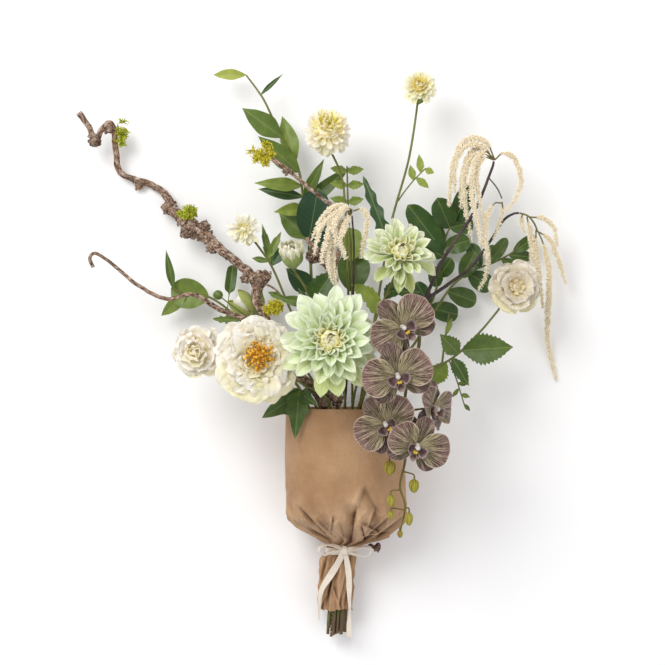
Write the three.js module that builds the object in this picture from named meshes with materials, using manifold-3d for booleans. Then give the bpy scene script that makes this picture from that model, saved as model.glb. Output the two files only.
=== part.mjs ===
// A mixed flower bouquet in a kraft paper wrap, tied at the neck with cotton tape, lying on its back.
// Millimetres, +Z up. The origin is the middle of the flat spot that the wrap rests on, +Y runs from
// the cut stems to the blooms, and the front of the bouquet faces up.
import * as THREE from "three";
import { mergeVertices } from "three/addons/utils/BufferGeometryUtils.js";
import Module from "manifold-3d";

const wasm = await Module();
wasm.setup();

// ---- Driving dimensions ----------------------------------------------------------------------------
const MM_PER_PX = 1.45; // one pixel of the photograph, measured on the surface the bouquet lies on
const EYE_HEIGHT = 4000; // how far above that surface the photograph's eye is
const PHOTO_MIDDLE = 332.5; // the middle pixel, across and down
const ORIGIN_PX = 345; // the pixel that the origin is seen at
const ORIGIN_PY = 470;

const GAP = 0.35; // between a bloom and the stem that carries it
const PETAL = 1.1; // petal thickness at the midrib
const LEAF = 1.0; // leaf thickness at the midrib
const STALK_HALF = 1.1; // half the width of a leaf where it leaves its stem
const STEM_R = 2.5; // a cut flower stem
const ORCHID_DEPTH = 5; // from an orchid's face to its foot
const PITCH = 5.4; // from stem to stem where they are tied
const SPREAD_X = 4; // how far the tied bundle opens out at the rim of the wrap, across
const SPREAD_Z = 5.5; // and up
const TUBE_SIDES = 4; // flats round a stem
const PAPER = 1.2; // the wrap's wall
const TAPE_WIDTH = 10; // cotton tape
const TAPE = 0.9;
const TAPE_SLACK = 0.6; // how far the tape stands off the gathered neck

// The bundle's middle at the cut ends, at the tie, halfway up the wrap and at its rim: pixel, pixel, height.
const CUT_END = [337, 636, 25];
const TIE = [342, 550, 37];
const INSIDE = [343.5, 477, 56.5];
const RIM = [345, 404, 76];

const UP = new THREE.Vector3(0, 0, 1);
const radians = THREE.MathUtils.degToRad;

const COLOURS = {
  paper: ["#b98f67", 0.9],
  tape: ["#efe6d8", 0.9],
  greenDahlia: ["#cfe3b8", 0.7],
  cream: ["#f6f0d8", 0.75],
  stamen: ["#e0a21c", 0.7],
  orchid: ["#8d7468", 0.65],
  stem: ["#7d8c3f", 0.6],
  leaf: ["#3f6b33", 0.55],
  lightLeaf: ["#7ba04a", 0.55],
  tassel: ["#e9dcbc", 0.9],
  darkStem: ["#46363a", 0.7],
  bark: ["#7a6558", 0.95],
  moss: ["#a3a92a", 0.95],
};

// ---- Placing and joining ---------------------------------------------------------------------------
// The point that is seen at a pixel of the photograph, at a height over the surface.
function spot([px, py, height]) {
  const near = 1 - height / EYE_HEIGHT;
  return new THREE.Vector3(
    ((px - PHOTO_MIDDLE) * near + PHOTO_MIDDLE - ORIGIN_PX) * MM_PER_PX,
    ((PHOTO_MIDDLE - py) * near + ORIGIN_PY - PHOTO_MIDDLE) * MM_PER_PX,
    height,
  );
}

// Repeatable random numbers from 0 to 1.
function seeded(seed) {
  let state = seed;
  return () => {
    state = (state * 16807) % 2147483647;
    return state / 2147483647;
  };
}

// A skin over rings of points. Each of its quads is split along one diagonal on the front and along the
// matching one on the back, so that the two faces of a thin wall stay parallel: front(i, k) tells which
// it is, for corner k of the span after ring i. An end ring of one point is a tip, other ends are capped.
function loft(rings, { closed = false, front } = {}) {
  const sides = Math.max(...rings.map((ring) => ring.length));
  const isFront = front ?? ((i, k) => k < sides / 2);
  const starts = [];
  const points = [];
  for (const ring of rings) {
    starts.push(points.length);
    points.push(...ring);
  }
  const index = [];
  const spans = closed ? rings.length : rings.length - 1;
  for (let i = 0; i < spans; i++) {
    const j = (i + 1) % rings.length;
    const low = (k) => starts[i] + (rings[i].length === 1 ? 0 : k % sides);
    const high = (k) => starts[j] + (rings[j].length === 1 ? 0 : k % sides);
    for (let k = 0; k < sides; k++) {
      const faces =
        isFront(i, k)
          ? [[low(k), low(k + 1), high(k + 1)], [low(k), high(k + 1), high(k)]]
          : [[low(k), low(k + 1), high(k)], [low(k + 1), high(k + 1), high(k)]];
      for (const face of faces) if (new Set(face).size === 3) index.push(...face);
    }
  }
  if (!closed) {
    for (let k = 1; k < rings[0].length - 1; k++) {
      index.push(starts[0], starts[0] + k + 1, starts[0] + k);
    }
    const last = starts[rings.length - 1];
    for (let k = 1; k < rings.at(-1).length - 1; k++) index.push(last, last + k, last + k + 1);
  }
  return new THREE.BufferGeometry().setFromPoints(points).setIndex(index);
}

// A closed geometry as a solid, with its faces turned outwards.
function solid(geometry) {
  for (const name of ["normal", "uv"]) geometry.deleteAttribute(name);
  const merged = mergeVertices(geometry, 1e-3);
  const make = (turned) => {
    const triVerts = new Uint32Array(merged.index.array);
    if (turned) triVerts.reverse();
    return new wasm.Manifold(
      new wasm.Mesh({ numProp: 3, vertProperties: merged.attributes.position.array, triVerts }),
    );
  };
  const made = make(false);
  return made.volume() < 0 ? make(true) : made;
}

// Several overlapping solids as one body. A loose scrap that a cut left is dropped.
function fuse(solids) {
  const bodies = wasm.Manifold.union(solids.flat(Infinity)).decompose();
  return bodies.sort((a, b) => b.volume() - a.volume())[0].simplify(0.02);
}

// A body that rests on the surface, worn flat where it touches.
function rested(body) {
  return body.trimByPlane([0, 0, 1], 0);
}

function mesh(name, made, [colour, roughness]) {
  const { vertProperties, triVerts } = made.getMesh();
  const geometry = new THREE.BufferGeometry();
  geometry.setAttribute("position", new THREE.BufferAttribute(vertProperties, 3));
  geometry.setIndex(new THREE.BufferAttribute(triVerts, 1));
  geometry.computeVertexNormals();
  const look = new THREE.MeshStandardMaterial({ color: colour, roughness, metalness: 0 });
  const part = new THREE.Mesh(geometry, look);
  part.name = name;
  bouquet.add(part);
  return part;
}

const bouquet = new THREE.Group();

// ---- Stems, leaves and petals ----------------------------------------------------------------------
// A tube through points. Its radii are spread evenly over them.
function tube(points, radii) {
  const curve = new THREE.CatmullRomCurve3(points, false, "catmullrom", 0.5);
  const steps = points.length - 1;
  const side = new THREE.Vector3(1, 0, 0.01);
  const rings = [];
  for (let i = 0; i <= steps; i++) {
    const along = i / steps;
    const middle = curve.getPoint(along);
    const ahead = curve.getTangent(along);
    side.addScaledVector(ahead, -side.dot(ahead)).normalize();
    const other = new THREE.Vector3().crossVectors(ahead, side);
    const place = along * (radii.length - 1);
    const before = Math.min(Math.floor(place), radii.length - 2);
    const radius = THREE.MathUtils.lerp(radii[before], radii[before + 1], place - before);
    rings.push(
      Array.from({ length: TUBE_SIDES }, (_, k) => {
        const angle = (2 * Math.PI * k) / TUBE_SIDES;
        return middle
          .clone()
          .addScaledVector(side, Math.cos(angle) * radius)
          .addScaledVector(other, Math.sin(angle) * radius);
      }),
    );
  }
  return { solid: solid(loft(rings)), curve };
}

// Outlines of blades: how far along, and the half width there as a share of the widest.
const OUTLINE = {
  leaf: [[0, 0.1], [0.4, 1], [0.7, 0.72], [1, 0]],
  round: [[0, 0.08], [0.3, 0.86], [0.74, 0.94], [1, 0]],
  narrow: [[0, 0.2], [0.45, 1], [1, 0]],
};

// A leaf from its root to its tip. It is bowed up in the middle of its length by bow, its edges stand cup
// above its midrib, both as shares, and its edges wave by wave, in millimetres.
function blade(root, tip, { width, cup, bow, wave, outline }) {
  const axis = new THREE.Vector3().subVectors(tip, root);
  const length = axis.length();
  const side = new THREE.Vector3().crossVectors(axis, UP).normalize();
  const face = new THREE.Vector3().crossVectors(side, axis).normalize();
  const rings = outline.map(([along, share], i) => {
    const arch = 4 * along * (1 - along) * bow * length;
    const half = Math.min((share * width) / 2, along === 0 ? STALK_HALF : Infinity);
    const at = (across, above) =>
      root
        .clone()
        .addScaledVector(axis, along)
        .addScaledVector(side, across * half)
        .addScaledVector(face, arch + above);
    if (share === 0) return [at(0, 0)];
    const lift = (cup * share * width) / 2 + wave * (i % 2 ? -1 : 1) * along;
    const skin = Math.min(LEAF / 2, share * width * 0.3);
    return [at(-1, lift), at(0, skin), at(1, lift), at(0, -skin)];
  });
  return solid(loft(rings));
}

// A leaf of a stem. It is rooted in the nearest point of the stem to base, and it reaches tip.
function leafOn(curve, { base, tip, width, kind = "leaf", cup = 0.35, bow = 0.06, wave = 0 }) {
  const reach = spot(tip);
  const seen = spot([...base, tip[2]]);
  const roots = curve.getPoints(80);
  const far = (p) => Math.hypot(p.x - seen.x, p.y - seen.y);
  const root = roots.reduce((best, p) => (far(p) < far(best) ? p : best));
  return blade(root, reach, { width, cup, bow, wave, outline: OUTLINE[kind] });
}

// Where a stem runs from its cut end to the rim of the wrap: the whole bundle opens out evenly from the
// tie, so stems in different slots never cross inside it. A stem is cut shorter by a share of its tail.
function bundled([across, up], shorter = 0) {
  const stations = [CUT_END, TIE, INSIDE, RIM].map((middle, i) => {
    const open = [0, 0, 0.5, 1][i];
    const point = spot(middle);
    point.x += across * PITCH * THREE.MathUtils.lerp(1, SPREAD_X, open);
    point.z += up * PITCH * THREE.MathUtils.lerp(1, SPREAD_Z, open);
    return point;
  });
  stations[0].lerp(stations[1], shorter);
  return stations;
}

// ---- Blooms, built face up round their own origin ---------------------------------------------------
// Edges of petals, from a notch round to the tip: how far along, and the half width there as a share.
const EDGE = {
  pointed: [[0.7, 1], [1, 0]],
  spike: [[1, 0]],
  broad: [[0.55, 0.94], [0.88, 0.8], [1, 0]],
  fan: [[0.3, 0.72], [0.58, 1], [0.88, 0.66], [1, 0]],
};

// A bloom as one skin: it runs up from a flat foot, out and back over each ring of petals in turn, and
// closes in a crown. Neighbours in a ring part at a notch. A ring is rooted at a distance from the axis
// and a height; each petal has its turn, reach, width, lift and shape.
function rosette(rings, { depth, foot, crown, footSides = 6 }) {
  const points = [];
  const index = [];
  const add = (x, y, z) => points.push(new THREE.Vector3(x, y, z)) - 1;
  const at = (ring, { turn, reach, lift, bow = 0 }, along, across, above) => {
    const over = above + bow * reach * 4 * along * (1 - along);
    const out = ring.from + along * reach * Math.cos(lift) - over * Math.sin(lift);
    return add(
      Math.cos(turn) * out - Math.sin(turn) * across,
      Math.sin(turn) * out + Math.cos(turn) * across,
      ring.height + along * reach * Math.sin(lift) + over * Math.cos(lift),
    );
  };
  // The band of faces between two rounds of corners, each a list of [turn, corner].
  const band = (low, high) => {
    let [i, j] = [0, 0];
    const turnOf = (list, k) => list[k % list.length][0] + (k >= list.length ? 2 * Math.PI : 0);
    while (high.length > 1 && turnOf(high, j) < turnOf(low, 0) - Math.PI / high.length) j++;
    const shift = j;
    while (i < low.length || j < shift + high.length) {
      const nextLow = i < low.length ? turnOf(low, i + 1) : Infinity;
      const nextHigh = j < shift + high.length ? turnOf(high, j + 1) : Infinity;
      const a = low[i % low.length][1];
      const b = high[j % high.length][1];
      if (nextLow <= nextHigh) index.push(a, low[++i % low.length][1], b);
      else index.push(a, high[++j % high.length][1], b);
    }
  };
  const round = Array.from({ length: footSides }, (_, k) => {
    const turn = (2 * Math.PI * k) / footSides;
    return [turn, add(Math.cos(turn) * foot, Math.sin(turn) * foot, -depth)];
  });
  for (let k = 1; k < footSides - 1; k++) index.push(round[0][1], round[k + 1][1], round[k][1]);
  let below = round;
  for (const ring of rings) {
    const { petals, thick = PETAL, notch = 0.42 } = ring;
    const count = petals.length;
    const between = petals.map((petal, k) => {
      const next = petals[(k + 1) % count];
      const gap = (next.turn - petal.turn + 4 * Math.PI) % (2 * Math.PI) || 2 * Math.PI;
      const mean = (key) => ((petal[key] ?? 0) + (next[key] ?? 0)) / 2;
      const turn = petal.turn + gap / 2;
      const middle = { turn, reach: mean("reach"), lift: mean("lift"), bow: mean("bow") };
      const raised = (mean("cup") * mean("width")) / 4;
      return {
        gap,
        turn,
        low: at(ring, middle, 0, 0, -thick * 0.6),
        high: at(ring, middle, 0, 0, thick * 0.6),
        notch: at(ring, middle, notch, 0, raised),
      };
    });
    petals.forEach((petal, k) => {
      const [left, right] = [between[(k + count - 1) % count], between[k]];
      const { width, cup = 0, edge = EDGE.pointed, wave = 0, curl = 0 } = petal;
      const half = (along, share) => {
        const room = Math.min(left.gap, right.gap) / 2;
        const radius = ring.from + along * petal.reach * Math.cos(petal.lift);
        const slope = Math.tan(room);
        const most = (0.9 * radius * slope) / (1 + cup * Math.sin(petal.lift) * slope);
        return room > 1.4 ? (share * width) / 2 : Math.min((share * width) / 2, most);
      };
      const rim = (side) =>
        edge
          .filter(([, share]) => share > 0)
          .map(([along, share], i) => {
            const across = half(along, share);
            const above = cup * across + curl * along ** 3 + wave * (i % 2 ? -1 : 1) * side;
            return at(ring, petal, along, side * across, above);
          });
      const tip = at(ring, petal, 1, 0, curl + wave);
      const outline = [left.notch, ...rim(-1), tip, ...rim(1).reverse(), right.notch];
      for (const [side, root, other] of [[-1, left.low, right.low], [1, left.high, right.high]]) {
        const middle = at(ring, petal, 0.55, 0, (side * thick) / 2 + curl * 0.17);
        const fan = [root, ...outline, other];
        const faces = fan.slice(1).map((corner, i) => [fan[i], middle, corner]);
        faces.push([root, other, middle]);
        for (const [a, b, c] of faces) index.push(...(side < 0 ? [a, b, c] : [a, c, b]));
      }
    });
    const wholeTurn = (turn) => ((turn % (2 * Math.PI)) + 2 * Math.PI) % (2 * Math.PI);
    const inOrder = (key) =>
      between.map((part) => [wholeTurn(part.turn), part[key]]).sort((a, b) => a[0] - b[0]);
    band(below, inOrder("low"));
    below = inOrder("high");
  }
  const top = add(0, 0, crown);
  below.forEach(([, corner], k) => index.push(corner, below[(k + 1) % below.length][1], top));
  return solid(new THREE.BufferGeometry().setFromPoints(points).setIndex(index));
}

// Rings of petals from the back of a bloom to its heart, rooted on a round core: the number in each ring,
// the lift of the first and last in degrees, and how far out the first and last reach from the middle.
function rings({ counts, core, lifts, reach, width, flat = 1, ease = 1, notch, thick, ...shape }) {
  return counts.map((count, i) => {
    const inward = counts.length === 1 ? 0 : i / (counts.length - 1);
    const lift = radians(THREE.MathUtils.lerp(lifts[0], lifts[1], inward));
    const out = THREE.MathUtils.lerp(reach[0], reach[1], inward ** ease);
    const wide = Array.isArray(width) ? THREE.MathUtils.lerp(width[0], width[1], inward) : width;
    return {
      from: Math.max(core * Math.cos(lift), 2.4),
      height: core * flat * Math.sin(lift),
      notch,
      thick,
      petals: Array.from({ length: count }, (_, k) => ({
        turn: (2 * Math.PI * (k + i * 0.5)) / count,
        reach: (out - core) * (k % 2 ? 0.97 : 1.02),
        width: wide,
        lift,
        ...shape,
      })),
    };
  });
}

// One moth orchid, its face up and its top sepal along +Y: three sepals behind two broad petals and a lip.
function orchid(width) {
  const size = width / 2;
  const part = (turn, reach, across, lift, shape) =>
    ({ turn: radians(turn), reach: size * reach, width: size * across, lift: radians(lift), ...shape });
  const sepal = { cup: 0.2, bow: 0.05, edge: EDGE.broad };
  const wing = { cup: 0.08, bow: 0.1, edge: EDGE.fan };
  const lobe = { cup: 0.5 };
  const back = {
    from: size * 0.1, height: 0, notch: 0.14,
    petals: [
      part(90, 0.86, 0.58, 0, sepal), part(215, 0.82, 0.54, 0, sepal), part(325, 0.82, 0.54, 0, sepal),
    ],
  };
  const front = {
    from: size * 0.1, height: 3, notch: 0.1,
    petals: [
      part(12, 0.92, 1.05, 14, wing),
      part(168, 0.92, 1.05, 14, wing),
      part(270, 0.36, 0.24, 30, { cup: 0.3 }),
    ],
  };
  const throat = {
    from: size * 0.08, height: 6, notch: 0.3,
    petals: [part(30, 0.24, 0.2, 52, lobe), part(150, 0.24, 0.2, 52, lobe), part(270, 0.3, 0.16, 70, lobe)],
  };
  return rosette([back, front, throat], { depth: ORCHID_DEPTH, foot: 2.4, crown: 11 });
}

// ---- Wrap and tape ---------------------------------------------------------------------------------
// The wrap's outside from its lower edge to its rim: the row's pixel, the middle and half width in pixels,
// the height of the middle, the half height, how deep its gathers are, and the clear half height inside.
const WRAP_ROWS = [
  { py: 609, px: 335.5, half: 16.5, height: 30, depth: 20, gather: 2.4, wall: 2.2 },
  { py: 588, px: 337, half: 16.3, height: 33, depth: 19.5, gather: 2, wall: 2.2 },
  { py: 566, px: 338.5, half: 17, height: 37, depth: 20, gather: 2, wall: 2.2 },
  { py: 557, px: 341, half: 15, height: 38, depth: 18.5, gather: 0, wall: 2.2 },
  { py: 544.5, px: 342, half: 15, height: 40, depth: 18.5, gather: 0, wall: 2.2 },
  { py: 537, px: 344, half: 33, height: 48, depth: 35, gather: 6, wall: PAPER },
  { py: 529, px: 345, half: 49, height: 59, depth: 54, gather: 7, wall: PAPER },
  { py: 519, px: 346.5, half: 58, height: 68, depth: 67, gather: 5, wall: PAPER },
  { py: 500, px: 346.5, half: 60, height: 71, depth: 75, gather: 1.6, wall: PAPER },
  { py: 410, px: 344, half: 57.5, height: 71, depth: 75.5, gather: 0, wall: PAPER },
];
const WRAP_SIDES = 20;

function wrapRing({ py, px, half, height, depth, gather, wall }, inside) {
  const middle = spot([px, py, height]);
  return Array.from({ length: WRAP_SIDES }, (_, k) => {
    const angle = (2 * Math.PI * k) / WRAP_SIDES;
    const fold = (k % 2 ? -1 : 0.4) * gather;
    const inset = inside ? wall + (k % 2 ? 0 : gather * 0.5) : 0;
    const wide = half * MM_PER_PX + fold - inset;
    const tall = depth + fold - inset;
    const lowest = inside ? PAPER : 0;
    return new THREE.Vector3(
      middle.x + Math.cos(angle) * wide,
      middle.y,
      Math.max(middle.z + Math.sin(angle) * tall, lowest),
    );
  });
}

function paperWrap() {
  const outside = WRAP_ROWS.map((row) => wrapRing(row, false));
  const inside = WRAP_ROWS.filter((_, i) => i !== 1).map((row) => wrapRing(row, true));
  const front = (i) => i < outside.length;
  return fuse([solid(loft([...outside, ...inside.reverse()], { closed: true, front }))]);
}

// Tape through points, flat to the direction given at each.
function strap(points, facings, width, closed = false) {
  const rings = points.map((point, i) => {
    const next = points[closed ? (i + 1) % points.length : Math.min(i + 1, points.length - 1)];
    const last = points[closed ? (i + points.length - 1) % points.length : Math.max(i - 1, 0)];
    const ahead = new THREE.Vector3().subVectors(next, last).normalize();
    const side = new THREE.Vector3().crossVectors(ahead, facings[i]).normalize();
    const out = new THREE.Vector3().crossVectors(side, ahead).normalize();
    const corner = (across, above) =>
      point.clone().addScaledVector(side, (across * width) / 2).addScaledVector(out, (above * TAPE) / 2);
    return [corner(-1, 1), corner(1, 1), corner(1, -1), corner(-1, -1)];
  });
  return solid(loft(rings, { closed }));
}

const KNOT = [344.5, 550.5, 63.3];
const LEFT_LOOP = [
  [344.5, 550, 63], [334, 547.5, 68], [322, 547, 71], [317, 552, 70], [325, 556.5, 65],
  [344.5, 551, 62.5],
];
const RIGHT_LOOP = [
  [344.5, 550, 63], [356, 547, 68], [368, 546, 71], [374, 551, 70], [367, 557, 65], [344.5, 551, 62.5],
];
const LEFT_TAIL = [
  [344, 551, 63], [338, 563, 61], [330, 576, 58], [322.5, 590, 56], [318.5, 606, 53.5], [319, 620, 45],
];
const RIGHT_TAIL = [
  [345, 551, 63], [347, 564, 61], [348, 582, 57], [348.5, 604, 54], [349.5, 620, 50], [350.5, 637, 46],
];

function tapeBow() {
  const row = WRAP_ROWS[3];
  const middle = spot([341.5, 550.5, 39]);
  const turns = 14;
  const clear = GAP + TAPE / 2 + TAPE_SLACK;
  const band = Array.from({ length: turns }, (_, k) => {
    const angle = (2 * Math.PI * k) / turns;
    const wide = (row.half * MM_PER_PX + clear) / Math.cos(Math.PI / turns);
    const tall = (row.depth + clear) / Math.cos(Math.PI / turns);
    return new THREE.Vector3(middle.x + Math.cos(angle) * wide, middle.y, middle.z + Math.sin(angle) * tall);
  });
  const outward = band.map((p) => new THREE.Vector3(p.x - middle.x, 0, p.z - middle.z).normalize());
  const loops = [LEFT_LOOP, RIGHT_LOOP].map((route) => {
    const points = route.map(spot);
    const centre = points.reduce((sum, p) => sum.add(p), new THREE.Vector3()).divideScalar(points.length);
    const facings = points.map((p) => new THREE.Vector3().subVectors(p, centre).setZ(0.1));
    facings[0].set(0, 1, 0.6);
    facings[points.length - 1].set(0, -1, 0.6);
    return strap(points, facings, TAPE_WIDTH * 0.8);
  });
  const tails = [LEFT_TAIL, RIGHT_TAIL].map((route) => {
    const points = route.map(spot);
    return strap(points, points.map(() => UP), TAPE_WIDTH);
  });
  const ball = new THREE.SphereGeometry(6.5, 6, 4).scale(1, 1.05, 0.72);
  const knot = solid(ball.translate(...spot(KNOT).toArray()));
  return fuse([strap(band, outward, TAPE_WIDTH, true), loops, tails, knot]);
}

// ---- Tassels, bark and lichen ----------------------------------------------------------------------
// A skin of rings round points, its radius given for each and its ridges turned by twist at each.
function ridged(points, radii, sides, twist = 0) {
  const curve = new THREE.CatmullRomCurve3(points);
  const side = new THREE.Vector3(0.9, 0.05, 0.4);
  const rings = points.map((middle, i) => {
    const ahead = curve.getTangent(i / (points.length - 1));
    side.addScaledVector(ahead, -side.dot(ahead)).normalize();
    const other = new THREE.Vector3().crossVectors(ahead, side);
    return Array.from({ length: sides }, (_, k) => {
      const angle = (2 * Math.PI * k) / sides + twist * i;
      const radius = radii(i, k);
      return middle
        .clone()
        .addScaledVector(side, Math.cos(angle) * radius)
        .addScaledVector(other, Math.sin(angle) * radius);
    });
  });
  return solid(loft(rings));
}

const BUNCH_LENGTH = 34; // of one bunch of florets in a tassel

// A hanging amaranth tassel: bunches of florets one under another, tapering to its tip.
function tassel(route, radius) {
  const curve = new THREE.CatmullRomCurve3(route.map(spot));
  const rows = Math.max(4, Math.round(curve.getLength() / BUNCH_LENGTH)) * 2;
  const points = Array.from({ length: rows + 1 }, (_, i) => curve.getPointAt(i / rows));
  const share = (i) => Math.sin(Math.PI * Math.min(1, (i / rows) * 1.08 + 0.12)) ** 0.6;
  const full = (i) => radius * (0.35 + 0.65 * share(i));
  return ridged(points, (i) => full(i) * (i % 2 ? 1.05 : 0.66), 4, Math.PI / 8);
}

// A weathered arm of a branch, its route given as pixel, pixel, height and radius. An arm with a slot starts
// in the bundle. Its first stations are smooth, and the rest of its skin is ridged. It is thicker by extra.
function branchArm({ slot, shorter = 0, tied = [], route, sides }, seed, extra) {
  const rough = seeded(seed);
  const points = [...(slot ? bundled(slot, shorter) : []), ...route.map(spot)];
  const radii = [...tied, ...route.map(([, , , radius]) => radius)];
  return ridged(points, (i) => (radii[i] + extra) * (i < SMOOTH_STATIONS ? 1 : 0.84 + 0.26 * rough()), sides);
}

// A cushion of lichen tufts, seen at a pixel and with its half sizes across, along and up.
function lichen(at, [wide, tall, deep], seed) {
  const rough = seeded(seed);
  const shape = new THREE.IcosahedronGeometry(1, 1);
  for (const name of ["normal", "uv"]) shape.deleteAttribute(name);
  const tufted = mergeVertices(shape, 1e-3);
  const spots = tufted.attributes.position;
  for (let i = 0; i < spots.count; i++) {
    const out = new THREE.Vector3().fromBufferAttribute(spots, i);
    out.multiplyScalar(i % 2 ? 0.66 + 0.1 * rough() : 0.95 + 0.25 * rough());
    spots.setXYZ(i, out.x * wide, out.y * tall, out.z * deep);
  }
  return solid(tufted.translate(...spot(at).toArray()));
}

// ---- The pieces ------------------------------------------------------------------------------------
function wrapAndTape() {
  mesh("paper_wrap", paperWrap(), COLOURS.paper);
  mesh("tape_bow", tapeBow(), COLOURS.tape);
}

// A bloom on its stem. The stem ends square to the bloom's foot, with a whorl of sepals under the petals.
function flower(name, bloomAndStem) {
  const { at, face, petals, depth, foot = 3, crown, colour, sepals } = bloomAndStem;
  const { slot, via, shorter, leaves = [], twigs = [] } = bloomAndStem;
  const look = new THREE.Vector3(...face).normalize();
  const centre = spot(at);
  const bloom = mesh(name, rosette(petals, { depth, foot, crown }), colour);
  bloom.position.copy(centre);
  bloom.quaternion.setFromUnitVectors(UP, look);
  const top = centre.clone().addScaledVector(look, -depth - GAP);
  const below = top.clone().addScaledVector(look, -sepals.neck);
  const route = [...bundled(slot, shorter), ...via.map(spot), below, top.clone().addScaledVector(look, -1)];
  const stalk = tube(route, [...route.slice(1).map(() => STEM_R), STEM_R * 1.15]);
  const collar = STEM_R * 1.3;
  const whorl = rings({
    counts: [sepals.count], core: collar, lifts: [sepals.lift, 0], reach: [sepals.length, 0],
    width: sepals.width, cup: 0.15, edge: EDGE.spike, notch: 0.25, thick: LEAF,
  });
  const calyx = rosette(whorl, { depth: 4, foot: STEM_R, crown: 0, footSides: 4 });
  const rise = Math.max(0, collar * Math.sin(radians(sepals.lift)) + LEAF * 0.6);
  const turned = new THREE.Matrix4().compose(
    top.clone().addScaledVector(look, -rise - 0.05),
    bloom.quaternion,
    new THREE.Vector3(1, 1, 1),
  );
  const greens = [
    stalk.solid,
    calyx.transform(turned.elements),
    leaves.map((leaf) => leafOn(stalk.curve, leaf)),
    twigs.map(({ route: line, leaves: more = [], radius: thin = 1.1 }) => {
      const twig = tube(line.map(spot), [thin, thin]);
      return [twig.solid, more.map((leaf) => leafOn(twig.curve, leaf))];
    }),
  ];
  mesh(name + "_stem", fuse(greens), COLOURS.stem);
  return bloom;
}

function dahlias() {
  const shape = { flat: 1.3, cup: 0.42, bow: -0.05, ease: 1.3, edge: EDGE.pointed };
  flower("large_dahlia", {
    at: [330, 341, 226], face: [0, 0.08, 1], depth: 16, crown: 24, colour: COLOURS.greenDahlia,
    petals: rings({
      counts: [13, 13, 12, 10, 8, 6, 4], core: 15, lifts: [-2, 78], reach: [74, 30], width: [25, 11],
      ...shape,
    }),
    slot: [0, 1.732], shorter: 0.04, via: [[339, 374, 150]],
    sepals: { count: 6, length: 24, width: 13, lift: -12, neck: 12 },
    leaves: [{ base: [339, 380], tip: [322, 388, 118], width: 20 }],
  });
  flower("medium_dahlia", {
    at: [400, 256, 186], face: [0.06, 0.4, 0.9], depth: 12, crown: 19, colour: COLOURS.greenDahlia,
    petals: rings({
      counts: [11, 11, 10, 8, 6, 4], core: 12, lifts: [-2, 76], reach: [52, 24], width: [20, 10],
      ...shape,
    }),
    slot: [0.5, 0.866], shorter: 0.09, via: [[372, 330, 118], [392, 282, 146]],
    sepals: { count: 5, length: 17, width: 10, lift: -14, neck: 9 },
    leaves: [
      { base: [381, 303], tip: [351, 284, 112], width: 22 },
      { base: [385, 300], tip: [398, 281, 112], width: 20 },
      { base: [379, 312], tip: [362, 286, 142], width: 20, kind: "round" },
      { base: [388, 292], tip: [420, 292, 128], width: 16 },
    ],
  });
}

const PEONY = { flat: 0.9, cup: 0.22, bow: -0.1, wave: 1.6, edge: EDGE.broad };

function peonies() {
  const crown = 13;
  const bloom = flower("open_peony", {
    at: [257, 360, 192], face: [0.14, 0.1, 1], depth: 14, crown, colour: COLOURS.cream,
    petals: rings({
      counts: [8, 8, 7, 6], core: 13, lifts: [-2, 50], reach: [63, 40], width: [44, 30], notch: 0.5,
      ...PEONY,
    }),
    slot: [-1, 1.732], shorter: 0.02, via: [[304, 385, 138], [276, 370, 156]],
    sepals: { count: 5, length: 22, width: 12, lift: -16, neck: 9 },
    leaves: [{ base: [290, 378], tip: [304, 352, 144], width: 18 }],
  });
  const threads = rings({
    counts: [10, 8, 5], core: 7, lifts: [28, 72], reach: [17, 13], width: 3.4, edge: EDGE.spike,
    thick: 1.4, notch: 0.3,
  });
  const middle = mesh("peony_stamens", rosette(threads, { depth: 0, foot: 5, crown: 9 }), COLOURS.stamen);
  middle.quaternion.copy(bloom.quaternion);
  const ahead = UP.clone().applyQuaternion(bloom.quaternion);
  middle.position.copy(bloom.position).addScaledVector(ahead, crown + GAP);
  flower("right_peony", {
    at: [515, 288, 112], face: [0.25, 0.12, 0.95], depth: 10, crown: 22, colour: COLOURS.cream,
    petals: rings({
      counts: [6, 6, 5, 4], core: 9, lifts: [0, 74], reach: [37, 27], width: [32, 22], notch: 0.5,
      ...PEONY,
    }),
    slot: [1.5, 0.866], shorter: 0.06, via: [
      [400, 382, 106], [448, 361, 100], [478, 334, 94], [502, 305, 86],
    ],
    sepals: { count: 5, length: 14, width: 8, lift: -18, neck: 8 },
    leaves: [
      { base: [462, 350], tip: [513, 347, 106], width: 42, wave: 0.8 },
      { base: [458, 354], tip: [440, 334, 116], width: 26, wave: 0.6 },
      { base: [452, 358], tip: [469, 386, 112], width: 20, wave: 0.6 },
      { base: [446, 362], tip: [430, 386, 88], width: 26, wave: 0.6 },
    ],
    twigs: [
      {
        route: [[449, 360, 100], [456, 378, 92], [461, 394, 84], [465, 407, 78]],
        leaves: [
          { base: [458, 384], tip: [468, 384, 90], width: 7, kind: "narrow" },
          { base: [461, 394], tip: [470, 397, 84], width: 7, kind: "narrow" },
          { base: [459, 388], tip: [452, 397, 80], width: 6, kind: "narrow" },
          { base: [464, 403], tip: [470, 411, 76], width: 6, kind: "narrow" },
        ],
      },
      {
        route: [[442, 364, 100], [445, 340, 92], [449, 314, 86]],
        radius: 1.6,
        leaves: [{ base: [446, 334], tip: [452, 318, 88], width: 8, kind: "narrow" }],
      },
    ],
  });
}

const DOUBLE = { cup: 0.24, bow: 0.02, edge: EDGE.pointed };

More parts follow.
